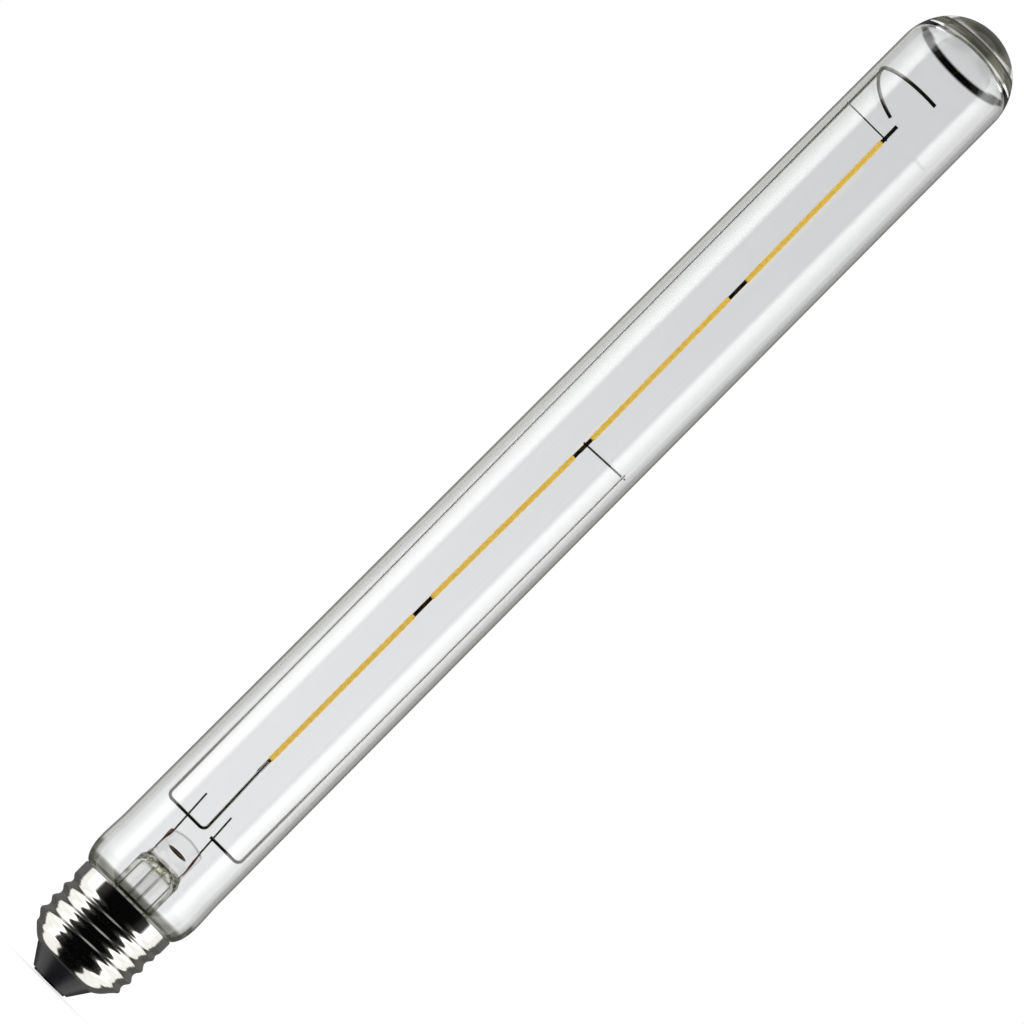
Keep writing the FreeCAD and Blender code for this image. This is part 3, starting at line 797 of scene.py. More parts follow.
class Workshop:
    """Puts finished pieces on the lamp's body and reports them."""

    def __init__(self) -> None:
        """Make the geometry trees that pieces grow from."""
        made = (wire_tree(), thread_tree(), coat_tree())
        self.trees = {tree.group.name: tree for tree in made}

    def fit(
        self, name: str, made: bpy.types.Mesh, slot: Slot, *nodes: str
    ) -> bpy.types.Object:
        """Set a mesh on the lamp in place of solids.

        Args:
            name: Name of the piece.
            made: Its mesh, already in place.
            slot: Finish and material slot.
            nodes: Solids that the piece stands for.

        Returns:
            The piece.
        """
        made.materials.clear()
        made.materials.append(slot.material())
        piece = put(name, made)
        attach(piece, "root")
        if nodes:
            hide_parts(*nodes)
        log.info("%s: %d faces for %s", name, len(made.polygons), ", ".join(nodes))
        return piece

    def dress(self, slot: Slot, *nodes: str) -> None:
        """Give solids that stay as they are their finish.

        Args:
            slot: Finish of the solids.
            nodes: Names of the solids.
        """
        for name in nodes:
            surfaces = frame["nodes"][name].data.materials
            surfaces.clear()
            surfaces.append(slot.material())
            log.info("%s: kept, with finish %s", name, slot.value)

    def grown(
        self, name: str, host: bpy.types.Mesh, tree: str, slot: Slot, sizes: dict[str, float]
    ) -> bpy.types.Mesh:
        """Run a geometry tree on a host mesh and give the plain mesh that comes out.

        Args:
            name: Name of the mesh that comes out.
            host: Mesh that the tree starts from.
            tree: Name of the tree.
            slot: Finish that the tree sets.
            sizes: Values of the tree's named inputs.

        Returns:
            The plain mesh.
        """
        sockets = self.trees[tree].sockets
        carrier = put(name + "_host", host)
        modifier = carrier.modifiers.new(tree, "NODES")
        modifier.node_group = self.trees[tree].group
        for label, value in sizes.items():
            modifier[sockets[label]] = value
        modifier[sockets["Finish"]] = slot.material()
        return worked_mesh(name, carrier)


class GrowthTree:
    """A geometry tree with named inputs that ends in plain, finished geometry."""

    def __init__(self, name: str, inputs: dict[str, float]) -> None:
        """Start a tree.

        Args:
            name: Name of the tree.
            inputs: Names of its number inputs and their usual values.
        """
        self.group = bpy.data.node_groups.new(name, "GeometryNodeTree")
        self.graph = Graph(self.group)
        self.sockets: dict[str, str] = {}
        face = self.group.interface
        face.new_socket("Geometry", in_out="INPUT", socket_type="NodeSocketGeometry")
        for label, value in inputs.items():
            socket = face.new_socket(label, in_out="INPUT", socket_type="NodeSocketFloat")
            socket.default_value = value
            self.sockets[label] = socket.identifier
        finish = face.new_socket("Finish", in_out="INPUT", socket_type="NodeSocketMaterial")
        self.sockets["Finish"] = finish.identifier
        face.new_socket("Geometry", in_out="OUTPUT", socket_type="NodeSocketGeometry")
        self.entry = self.graph.add("NodeGroupInput")

    def given(self, label: str) -> Signal:
        """One of the tree's inputs."""
        return Signal(self.graph, self.entry.outputs[label])

    def pushed(self, distance: Signal) -> Signal:
        """Move the incoming geometry away from the axis.

        Args:
            distance: How far each corner moves.

        Returns:
            The moved geometry.
        """
        graph = self.graph
        x, y, _ = graph.split(graph.out("GeometryNodeInputPosition", 0))
        across = graph.length(x, y).larger(1e-6)
        offset = graph.join(x / across * distance, y / across * distance, 0.0)
        return graph.out(
            "GeometryNodeSetPosition", 0, None,
            {"Geometry": self.given("Geometry"), "Offset": offset},
        )

    def close(self, geometry: Signal) -> "GrowthTree":
        """End the tree: realise instances, smooth, and set the finish.

        Args:
            geometry: What the tree has made.

        Returns:
            The tree itself.
        """
        graph = self.graph
        plain = graph.out("GeometryNodeRealizeInstances", 0, None, {"Geometry": geometry})
        smooth = graph.out("GeometryNodeSetShadeSmooth", 0, None, {"Geometry": plain})
        dressed = graph.out(
            "GeometryNodeSetMaterial", 0, None,
            {"Geometry": smooth, "Material": self.given("Finish")},
        )
        graph.add("NodeGroupOutput", None, {"Geometry": dressed})
        return self


def wire_tree() -> GrowthTree:
    """Tree that runs a round wire along a line of edges and rounds its bends.

    Returns:
        The closed tree.
    """
    tree = GrowthTree("round wire", {"Radius": 0.0004, "Bend": 0.001, "Sides": 24.0, "Steps": 10.0})
    graph = tree.graph
    line = graph.out("GeometryNodeMeshToCurve", 0, None, {"Mesh": tree.given("Geometry")})
    bent = graph.out("GeometryNodeFilletCurve", 0, {"mode": "POLY"}, {
        "Curve": line, "Count": tree.given("Steps"), "Radius": tree.given("Bend"), "Limit Radius": True,
    })
    section = graph.out(
        "GeometryNodeCurvePrimitiveCircle", 0, None,
        {"Resolution": tree.given("Sides"), "Radius": tree.given("Radius")},
    )
    wire = graph.out(
        "GeometryNodeCurveToMesh", 0, None,
        {"Curve": bent, "Profile Curve": section, "Fill Caps": True},
    )
    return tree.close(wire)


def thread_tree() -> GrowthTree:
    """Tree that rolls a right-hand round thread into a plain sheet tube.

    Returns:
        The closed tree.
    """
    tree = GrowthTree("rolled thread", {
        "Start": 0.0082, "Length": 0.014, "Pitch": 0.003629, "Depth": 0.00085,
        "Run in": 0.0018, "Run out": 0.0022, "Start turn": 0.275, "Crest": 1.3,
    })
    graph = tree.graph
    x, y, z = graph.split(graph.out("GeometryNodeInputPosition", 0))
    height = z - tree.given("Start")
    angle = graph.math("ARCTAN2", y, x)
    turns = height / tree.given("Pitch") - angle / TURN - tree.given("Start turn")
    ridge = graph.math("POWER", (turns * TURN).cosine() * 0.5 + 0.5, tree.given("Crest"))
    rise = height.eased(0.0, tree.given("Run in"))
    fall = (tree.given("Length") - height).eased(0.0, tree.given("Run out"))
    return tree.close(tree.pushed(ridge * rise * fall * tree.given("Depth")))


def coat_tree() -> GrowthTree:
    """Tree that swells a bar a little over each chip and makes its surface uneven.

    Returns:
        The closed tree.
    """
    tree = GrowthTree("coated bar", {
        "Length": 0.04635, "Chip pitch": 0.00212, "Bulge": 0.00003, "Ripple": 0.00003,
        "Ripple scale": 420.0, "Seed": 1.0,
    })
    graph = tree.graph
    spot = graph.out("GeometryNodeInputPosition", 0)
    height = graph.split(spot)[2]
    end = Ramp(0.0005, 0.002)
    ends = end.on(height) * end.on(tree.given("Length") - height)
    bulge = (height / tree.given("Chip pitch") * TURN).cosine() * tree.given("Bulge")
    uneven = graph.noise(spot, tree.given("Ripple scale"), 2.0, tree.given("Seed")) - 0.5
    return tree.close(tree.pushed((bulge + uneven * tree.given("Ripple")) * ends))


def line_mesh(name: str, points: list[Point3]) -> bpy.types.Mesh:
    """Make an open line of edges.

    Args:
        name: Name of the mesh.
        points: Points of the line in millimetres.

    Returns:
        The mesh in metres.
    """
    made = bpy.data.meshes.new(name)
    edges = [(index, index + 1) for index in range(len(points) - 1)]
    made.from_pydata(in_metres(points), edges, [])
    return made


def plain_mesh(name: str, shape: bmesh.types.BMesh) -> bpy.types.Mesh:
    """Write a worked shape as a mesh.

    Args:
        name: Name of the mesh.
        shape: The shape, freed at the end.

    Returns:
        The mesh.
    """
    made = bpy.data.meshes.new(name)
    shape.to_mesh(made)
    shape.free()
    return made


def placed(made: bpy.types.Mesh, matrix: Matrix) -> bpy.types.Mesh:
    """Move a mesh to its place by a matrix in metres."""
    made.transform(matrix)
    return made


# The lamp's pieces


@dataclass
class Assembly:
    """A group of pieces that one workshop fits."""

    shop: Workshop


@dataclass
class Cap(Assembly):
    """Screw cap: contact, insulator, threaded sheet shell and the cement inside it."""

    contact_radius: float = 4.6
    contact_rise: float = 0.45
    shank_radius: float = 1.2
    head_radius: float = 1.9
    head_height: float = 0.5
    face_radius: float = 5.2
    foot_radius: float = 8.4
    insulator_top: float = 5.1
    floor: float = 5.8
    seat: float = 8.6
    seat_width: float = 1.3
    sheet: float = 0.3
    shoulder_radius: float = 11.6
    thread_start: float = 8.2
    thread_length: float = 14.0
    thread_pitch: float = 3.629
    thread_depth: float = 0.85
    run_in: float = 1.8
    run_out: float = 2.2
    start_turn: float = 0.235
    ridge_start: float = 6.6
    ridge_run_in: float = 3.2
    crest: float = 13.2
    rim: float = 25.3
    rim_curl: float = 0.35
    collar: float = 1.2
    clearance: float = 0.01
    contact_round: float = 0.16
    cone_round: float = 0.22
    cone_drop: float = 0.02
    shoulder_via: Point2 = (0.59, 0.45)
    curl_turn: float = 75.0
    curl_steps: int = 5
    shoulder_steps: int = 18
    rows: int = 132
    segments: int = 240
    contact_segments: int = 96
    cone_segments: int = 160

    def build(self) -> None:
        """Make and fit the pieces of the cap."""
        self.make_contact()
        self.make_insulator()
        self.make_shell()
        self.shop.dress(Slot.CEMENT, "capping_cement")

    def make_contact(self) -> None:
        """Pressed disc with a headed shank."""
        shank, face = self.shank_radius - self.clearance, self.contact_rise - self.clearance
        foot, top = self.floor + self.clearance, self.floor + self.head_height
        profile = softened([
            (0.0, 0.0), (self.contact_radius, 0.0), (self.contact_radius, face), (shank, face),
            (shank, foot), (self.head_radius, foot), (self.head_radius, top), (0.0, top),
        ], self.contact_round)
        made = lathe(profile, self.contact_segments).mesh("end_contact")
        self.shop.fit("end_contact", made, Slot.CONTACT, "centre_contact")

    def make_insulator(self) -> None:
        """Moulded black cone with softened edges."""
        inner = self.foot_radius - self.seat_width
        profile = softened([
            (self.shank_radius, self.contact_rise), (self.face_radius, self.contact_rise),
            (self.foot_radius, self.insulator_top - self.cone_drop), (self.foot_radius, self.seat),
            (inner, self.seat), (inner, self.floor), (self.shank_radius, self.floor),
        ], self.cone_round)
        made = lathe(profile, self.cone_segments, closed=True).mesh("insulating_cone")
        self.shop.fit("insulating_cone", made, Slot.CAP_INSULATOR, "cap_insulator")

    def base_radius(self, height: float) -> float:
        """Outer radius of the sheet before the thread is rolled.

        Args:
            height: Height on the lamp.

        Returns:
            The radius, without the ridge.
        """
        root = self.crest - self.thread_depth
        above = height - self.thread_start
        fall = ease((self.thread_length - above) / self.run_out)
        radius = between(self.shoulder_radius, root, ease(above / self.run_in))
        return radius + self.thread_depth * (1 - fall)

    def make_shell(self) -> None:
        """Sheet shell with a rounded shoulder, a rolled thread and a curled rim."""
        foot, top = (self.foot_radius, self.insulator_top), (self.shoulder_radius, self.thread_start)
        via = tuple(between(*pair) for pair in zip(foot, top, self.shoulder_via))
        heights = [
            self.thread_start + self.thread_length * row / self.rows for row in range(self.rows + 1)
        ]
        curl_middle = (self.crest - self.rim_curl, self.rim - self.rim_curl)
        outside = arc_through(foot, via, top, self.shoulder_steps)[:-1]
        outside += [(self.base_radius(height), height) for height in heights]
        outside += [(self.crest, self.rim - self.collar)]
        turn = math.radians(self.curl_turn)
        outside += arc(curl_middle, self.rim_curl, 0.0, turn, self.curl_steps)
        inside = offset_line(outside, self.sheet)
        host = lathe(outside + inside[::-1], self.segments, closed=True).mesh("cap_sheet")
        lead_in = self.thread_start - self.ridge_start
        made = self.shop.grown("cap_sheet", host, "rolled thread", Slot.CAP_NICKEL, {
            "Start": self.ridge_start * MM, "Length": (self.thread_length + lead_in) * MM,
            "Pitch": self.thread_pitch * MM, "Depth": self.thread_depth * MM,
            "Run in": self.ridge_run_in * MM, "Run out": self.run_out * MM,
            "Start turn": self.start_turn + lead_in / self.thread_pitch,
        })
        self.shop.fit("threaded_shell", made, Slot.CAP_NICKEL, "cap_shell")


def between(start: float, end: float, share: float) -> float:
    """A value on the way from one to another."""
    return start + (end - start) * share


def ease(share: float) -> float:
    """Ease from 0 to 1 with level ends."""
    share = min(max(share, 0.0), 1.0)
    return share * share * (3 - 2 * share)


def arc_through(start: Point2, via: Point2, end: Point2, count: int) -> list[Point2]:
    """Points of the arc that passes through three points.

    Args:
        start: First point.
        via: Point on the way.
        end: Last point.
        count: Pieces of the arc.

    Returns:
        The points, both ends included.
    """
    (ax, ay), (bx, by), (cx, cy) = start, via, end
    twice = 2 * (ax * (by - cy) + bx * (cy - ay) + cx * (ay - by))
    squares = (ax * ax + ay * ay, bx * bx + by * by, cx * cx + cy * cy)
    ox = (squares[0] * (by - cy) + squares[1] * (cy - ay) + squares[2] * (ay - by)) / twice
    oy = (squares[0] * (cx - bx) + squares[1] * (ax - cx) + squares[2] * (bx - ax)) / twice
    radius = math.hypot(ax - ox, ay - oy)
    angles = [math.atan2(y - oy, x - ox) for x, y in (start, via, end)]
    span = (angles[2] - angles[0]) % TURN
    if (angles[1] - angles[0]) % TURN > span:
        span -= TURN
    return arc((ox, oy), radius, angles[0], angles[0] + span, count)


def offset_line(points: list[Point2], depth: float) -> list[Point2]:
    """A line that runs beside another, on its left as it goes up.

    Args:
        points: The line to follow.
        depth: Distance between the two.

    Returns:
        The points of the second line.
    """
    line = []
    for index, (x, y) in enumerate(points):
        ahead = points[min(index + 1, len(points) - 1)]
        behind = points[max(index - 1, 0)]
        dx, dy = ahead[0] - behind[0], ahead[1] - behind[1]
        length = math.hypot(dx, dy)
        line.append((x - dy / length * depth, y + dx / length * depth))
    return line


@dataclass
class Envelope(Assembly):
    """Clear tube with a round dome, a swollen shoulder and a narrow neck."""

    tube: float = 14.75
    bore: float = 13.75
    dome_start: float = 295.55
    end_inside: float = 304.3
    end_square: float = 2.8
    neck: float = 12.4
    neck_tip: float = 11.3
    wall: float = 1.0
    neck_end: float = 15.0
    step_foot: float = 20.6
    thread_end: float = 22.2
    straight: float = 0.4
    clearance: float = 0.01
    span_steps: int = 6
    dome_steps: int = 40
    inner_steps: int = 48
    segments: int = 256
    outer_swell: tuple[Point2, ...] = (
        (14.75, 39.4), (14.77, 37.6), (14.88, 35.6), (14.975, 33.5), (15.0, 31.45),
        (14.87, 29.5), (14.5, 27.85), (14.05, 26.75), (13.55, 25.95), (13.1, 25.52),
        (12.66, 25.22), (12.45, 24.85), (12.4, 24.3),
    )
    inner_swell: tuple[Point2, ...] = (
        (11.4, 24.0), (11.46, 24.8), (11.75, 25.45), (12.3, 26.05), (12.95, 26.8),
        (13.5, 28.1), (13.86, 29.75), (14.0, 31.45), (13.98, 33.5), (13.88, 35.6),
        (13.77, 37.6), (13.75, 39.4),
    )

    def build(self) -> None:
        """Make and fit the envelope."""
        foot, straight = self.neck_end + self.clearance, self.thread_end + self.straight
        outside = arc((0.0, self.dome_start), self.tube, QUARTER, 0.0, self.dome_steps)
        outside += smooth_line(list(self.outer_swell), self.span_steps)
        outside += [
            (self.neck, straight), (self.neck, self.thread_end),
            (self.neck_tip, self.step_foot), (self.neck_tip, foot),
        ]
        neck, tip = self.neck - self.wall, self.neck_tip - self.wall
        inside = [(tip, foot), (tip, self.step_foot), (neck, self.thread_end), (neck, straight)]
        inside += smooth_line(list(self.inner_swell), self.span_steps) + self.inner_dome()
        made = lathe(outside + inside, self.segments).mesh("clear_envelope", GLASS_SHARP)
        piece = self.shop.fit("clear_envelope", made, Slot.BULB_GLASS, "glass_envelope")
        piece.visible_shadow = False

    def inner_dome(self) -> list[Point2]:
        """Inside of the dome, flatter than its outside.

        Returns:
            Points from the bore up to the middle of the dome.
        """
        power = 2 / self.end_square
        rise = self.end_inside - self.dome_start
        line = [(self.bore, self.dome_start)]
        for row in range(1, self.inner_steps):
            angle = QUARTER * row / self.inner_steps
            line.append((
                self.bore * math.cos(angle) ** power,
                self.dome_start + rise * math.sin(angle) ** power,
            ))
        return line + [(0.0, self.end_inside)]


@dataclass(frozen=True)
class Bead:
    """A soft lump of glass beside a lead: how far it stands out, its middle and its reach."""

    size: float
    x: float
    reach_x: float
    z: float
    reach_z: float

    def rise(self, x: float, z: float) -> float:
        """How far the glass stands out at a point of the press."""
        across, along = (x - self.x) / self.reach_x, (z - self.z) / self.reach_z
        return self.size * math.exp(-across ** 2 - along ** 2)


@dataclass
class Stem(Assembly):
    """Flared glass tube pressed flat round the leads, with the exhaust tube inside."""

    radius: float = 5.75
    tube_top: float = 34.4
    hollow_top: float = 36.32
    press_start: float = 37.6
    press_end: float = 44.8
    half_width: float = 4.8
    half_depth: float = 1.6
    crown: float = 1.1
    soft: float = 0.35
    dip: float = 0.02
    press_power: float = 3.2
    taper_power: float = 2.6
    tube_power: float = 2.0
    press_rows: int = 30
    taper_rows: int = 26
    crown_shares: tuple[float, ...] = (0.25, 0.5, 0.75, 0.9)
    edge_steps: int = 6
    span_steps: int = 6
    sides: int = 120
    outer_flare: tuple[Point2, ...] = (
        (5.75, 34.4), (5.75, 28.0), (5.75, 22.6), (6.05, 19.4), (7.1, 16.9), (9.0, 15.35),
        (11.25, 14.99),
    )
    foot: tuple[Point2, Point2] = ((11.25, 14.0), (8.9, 14.0))
    inner_flare: tuple[Point2, ...] = (
        (8.9, 14.0), (7.2, 14.7), (6.1, 16.4), (5.3, 18.9), (4.95, 22.4), (4.95, 28.0),
        (4.9, 33.0), (4.4, 34.6), (3.0, 35.6), (1.5, 36.15), (0.4, 36.3),
    )
    crease_height: float = 36.2
    crease_reach: float = 1.9
    crease_depth: float = 0.2
    crease_spread: Point2 = (0.5, 0.8)
    bead_spread: Point2 = (0.4, 1.0)
    beads: tuple[Bead, ...] = (
        Bead(0.55, -4.4, 0.75, 42.9, 1.5), Bead(0.25, 4.0, 0.7, 41.2, 2.2),
    )
    # Strength, turn across, turn upwards and phase of each ripple in the creases
    ripples: tuple[tuple[float, ...], ...] = ((1.0, 1.7, 2.3, 0.0), (0.7, -1.1, 3.1, 0.8))
    hole_height: float = 40.6
    hole_width: float = 5.1
    hole_rise: float = 0.07
    hole_corners: int = 28
    cutter_reach: float = 3.0
    exhaust_radius: float = 1.6
    exhaust_bore: float = 0.9
    exhaust_tip: float = 12.5
    exhaust_top: float = 36.1
    exhaust_steps: int = 10
    exhaust_sides: int = 64

    def ring(
        self, height: float, half_x: float, half_y: float, power: float, crown: float
    ) -> list[Point3]:
        """One loop of the stem: an oval that turns squarer with its power.

        Args:
            height: Height on the lamp.
            half_x: Half of the width.
            half_y: Half of the depth.
            power: 2 gives an ellipse.
            crown: How much lower the loop's sides lie than its middle.

        Returns:
            The corners of the loop.
        """
        loop = []
        for step in range(self.sides):
            angle = TURN * step / self.sides
            c, s = math.cos(angle), math.sin(angle)
            x = half_x * math.copysign(abs(c) ** (2 / power), c)
            y = half_y * math.copysign(abs(s) ** (2 / power), s)
            z = height - crown * (x / self.half_width) ** 2
            loop.append(self.worked(x, y, z))
        return loop

    def worked(self, x: float, y: float, z: float) -> Point3:
        """Move a corner as the hot glass was moved: creases at the taper, beads at the leads.

        Args:
            x: Place across the press.
            y: Place through the press.
            z: Height.

        Returns:
            The moved corner.
        """
        near = ((z - self.crease_height) / self.crease_reach) ** 2
        wave = sum(
            size * math.sin(across * x + along * z + phase)
            for size, across, along, phase in self.ripples
        )
        push = math.exp(-near) * self.crease_depth * wave
        bead = sum(bead.rise(x, z) for bead in self.beads)
        moves = [push * a + bead * b for a, b in zip(self.crease_spread, self.bead_spread)]
        size = math.hypot(x, y) or 1.0
        return x + x / size * moves[0], y + math.copysign(1.0, y) * moves[1], z

    def build(self) -> None:
        """Make and fit the stem and the exhaust tube."""
        loops = self.crown_loops() + self.press_loops()
        flare = smooth_line(list(self.outer_flare), self.span_steps)[1:] + list(self.foot)
        flare += smooth_line(list(self.inner_flare), self.span_steps)[1:]
        loops += [circle(radius, height, self.sides) for radius, height in flare]
        loops.append([(0.0, 0.0, self.hollow_top)])
        made = self.pierced(Skin().add_loops(loops).mesh("pressed_stem", GLASS_SHARP))
        for name, glass, node in (
            ("pressed_stem", made, "stem_glass"), ("exhaust", self.exhaust(), "exhaust_tube"),
        ):
            self.shop.fit(name, glass, Slot.STEM_GLASS, node).visible_shadow = False

    def crown_loops(self) -> list[list[Point3]]:
        """Loops from the middle of the press's end over its rounded edge.

        Returns:
            The loops, from inside out.
        """
        loops = [[(0.0, 0.0, self.press_end)]]
        half_x, half_y = self.half_width - self.soft, self.half_depth - self.soft
        for share in self.crown_shares:
            loops.append(self.ring(
                self.press_end - self.dip * share, half_x * share, half_y * share,
                self.taper_power, self.crown,
            ))
        middle = (self.soft, self.soft)
        for drop, inset in arc(middle, self.soft, 2 * QUARTER, 3 * QUARTER, self.edge_steps):
            loops.append(self.ring(
                self.press_end - drop - self.dip, self.half_width - inset,
                self.half_depth - inset, self.press_power, self.crown,
            ))
        return loops

    def press_loops(self) -> list[list[Point3]]:
        """Loops down the flat press and through the taper into the round tube.

        Returns:
            The loops, from the top down.
        """
        loops = []
        top = self.press_end - self.soft - self.dip
        for row in range(1, self.press_rows + 1):
            share = row / self.press_rows
            loops.append(self.ring(
                between(top, self.press_start, share), self.half_width, self.half_depth,
                between(self.press_power, self.taper_power, share), self.crown * (1 - share),
            ))
        for row in range(1, self.taper_rows + 1):
            share = row / self.taper_rows
            blend = ease(share)
            loops.append(self.ring(
                between(self.press_start, self.tube_top, share),
                between(self.half_width, self.radius, blend),
                between(self.half_depth, self.radius, blend),
                between(self.taper_power, self.tube_power, blend), 0.0,
            ))
        return loops

    def pierced(self, made: bpy.types.Mesh) -> bpy.types.Mesh:
        """Cut the lens-shaped blow hole through the press.

        Args:
            made: Mesh of the stem.

        Returns:
            The mesh with the hole.
        """
        half, rise = self.hole_width / 2, self.hole_rise / 2
        outline = [
            (half * x, self.hole_height + rise * z) for x, z, _ in circle(1.0, 0.0, self.hole_corners)
        ]
        faces = (-self.cutter_reach, self.cutter_reach)
        loops = [[(x, y, z) for x, z in outline] for y in faces]
        tips = [[(0.0, y, self.hole_height)] for y in faces]
        loops = tips[:1] + loops + tips[1:]
        tool = put("hole_tool", Skin().add_loops(loops).mesh("hole_tool"))
        body = put("stem_body", made)
        hole = body.modifiers.new("hole", "BOOLEAN")
        hole.operation = "DIFFERENCE"
        hole.solver = "EXACT"
        hole.object = tool
        result = worked_mesh("pressed_stem", body)
        bpy.data.objects.remove(tool)
        return result

    def exhaust(self) -> bpy.types.Mesh:
        """Thin tube that was tipped off with a round end.

        Returns:
            Its mesh.
        """
        outer, inner, top = self.exhaust_radius, self.exhaust_bore, self.exhaust_top
        middle = (0.0, self.exhaust_tip + outer)
        profile = arc(middle, outer, -QUARTER, 0.0, self.exhaust_steps)
        profile += [(outer, top), (inner, top)]
        profile += arc(middle, inner, 0.0, -QUARTER, self.exhaust_steps)
        return lathe(profile, self.exhaust_sides).mesh("exhaust", GLASS_SHARP)


@dataclass(frozen=True)
class FlatWire:
    """A wire in one upright plane: its names, finish, thickness, plane and line."""

    name: str
    node: str
    slot: Slot
    width: float
    plane: float
    line: tuple[Point2, ...]


@dataclass
class Wires(Assembly):
    """Leads, supports, cross wires and centring arms."""

    lead: float = 0.48
    sealed: float = 0.3
    support: float = 0.75
    middle: float = 0.5
    top: float = 0.38
    arm: float = 0.92
    bend: float = 1.4
    sides: int = 28
    sharp: float = 50.0
    # Side, place across, plane and place where the lead is splayed
    leads: tuple[tuple[str, float, float, float], ...] = (
        ("a", -4.2, 0.0, -4.5), ("b", 3.7, 0.26, 4.3),
    )
    lead_foot: float = 9.61
    splay: float = 24.0
    seal_start: float = 36.2
    seal_end: float = 43.6
    weld: float = 0.02
    lead_top: float = 54.8
    lean: float = 0.65
    long_y: float = -0.625
    short_y: float = -0.365
    middle_y: float = 0.27
    top_y: float = -0.04
    cross: float = 48.4
    long_x: Point2 = (-10.875, -12.725)
    short_x: float = 11.625
    arm_radius: float = 12.9
    arm_gap: float = 0.08
    arm_steps: int = 40
    # Name, side, reach, tilt and height of each arm
    arms: tuple[tuple[str, int, float, float, float], ...] = (
        ("near", -1, 2.15, 2.0, 284.75), ("far", 1, -3.35, 11.4, 283.485),
    )

    def run(
        self, name: str, node: str, slot: Slot, width: float, points: list[Point3], bend: float
    ) -> None:
        """Run one wire through points.

        Args:
            name: Name of the piece.
            node: Solid that it stands for.
            slot: Finish.
            width: Thickness of the wire.
            points: Line of its middle.
            bend: Radius of its bends.
        """
        made = self.shop.grown(
            name, line_mesh(name + "_line", points), "round wire", slot,
            {"Radius": width / 2 * MM, "Bend": bend * MM, "Sides": self.sides},
        )
        tidy_mesh(made)
        made.set_sharp_from_angle(angle=math.radians(self.sharp))
        self.shop.fit(name, made, slot, node)

    def build(self) -> None:
        """Make and fit every wire in the glass."""
        for wire in self.lead_wires() + self.support_wires():
            points = [(x, wire.plane, z) for x, z in wire.line]
            self.run(wire.name, wire.node, wire.slot, wire.width, points, self.bend)
        for arm in self.arms:
            self.make_arm(*arm)

    def lead_wires(self) -> list[FlatWire]:
        """Both leads, each in three lengths.

        Returns:
            The wires.
        """
        wires = []
        for side, x, y, wide in self.leads:
            wires += [
                FlatWire(
                    f"outer_{side}", f"outer_lead_{side}", Slot.COPPER_WIRE, self.lead, y,
                    ((x, self.lead_foot), (wide, self.splay), (wide, self.seal_start)),
                ),
                FlatWire(
                    f"sealed_{side}", f"seal_wire_{side}", Slot.SEAL_WIRE, self.sealed, y,
                    ((wide, self.seal_start), (x, self.seal_end)),
                ),
                FlatWire(
                    f"inner_{side}", f"inner_lead_{side}", Slot.LEAD_WIRE, self.lead, y,
                    ((x, self.seal_end + self.weld), (x - self.lean, self.lead_top)),
                ),
            ]
        return wires

    def support_wires(self) -> list[FlatWire]:
        """Two supports and two cross wires.

        Returns:
            The wires.
        """
        cross, rod = self.cross, self.short_x
        return [
            FlatWire(name, f"{name}_wire", Slot.SUPPORT_WIRE, width, plane, line)
            for name, width, plane, line in (
                ("long_support", self.support, self.long_y,
                 ((0.0, 69.6), (0.7, cross), (self.long_x[0], cross), (self.long_x[1], 285.75))),
                ("short_support", self.support, self.short_y,
                 ((2.7, cross), (rod, cross), (rod, 173.9))),
                ("middle_cross", self.middle, self.middle_y, ((-0.5, 172.7), (12.4, 173.3))),
                ("top_cross", self.top, self.top_y, ((-13.225, 274.05), (-0.075, 274.05))),
            )
        ]

    def make_arm(self, name: str, side: int, reach: float, tilt: float, height: float) -> None:
        """Springy arm that curves along the glass from the end of the long support.

        Args:
            name: Which arm.
            side: -1 in front of the support and 1 behind it.
            reach: Where its free end lies along X.
            tilt: Angle in degrees by which it droops.
            height: Height of the middle of its circle.
        """
        start = self.long_y + side * (self.support / 2 + self.arm_gap)
        radius = self.arm_radius
        first = math.atan2(start, -math.sqrt(radius ** 2 - start ** 2))
        last = math.atan2(side * math.sqrt(radius ** 2 - reach ** 2), reach)
        span = (last - first + math.pi) % TURN - math.pi
        turn = Quaternion(Vector((-side, 1, 0)), math.radians(tilt))
        points = [
            tuple(turn @ Vector((x, y, 0.0)) + Vector((0, 0, height)))
            for x, y in arc((0.0, 0.0), radius, first, first + span, self.arm_steps)
        ]
        node = f"{name}_centring_arm"
        self.run(f"{name}_arm", node, Slot.SUPPORT_WIRE, self.arm, points, 0.0)


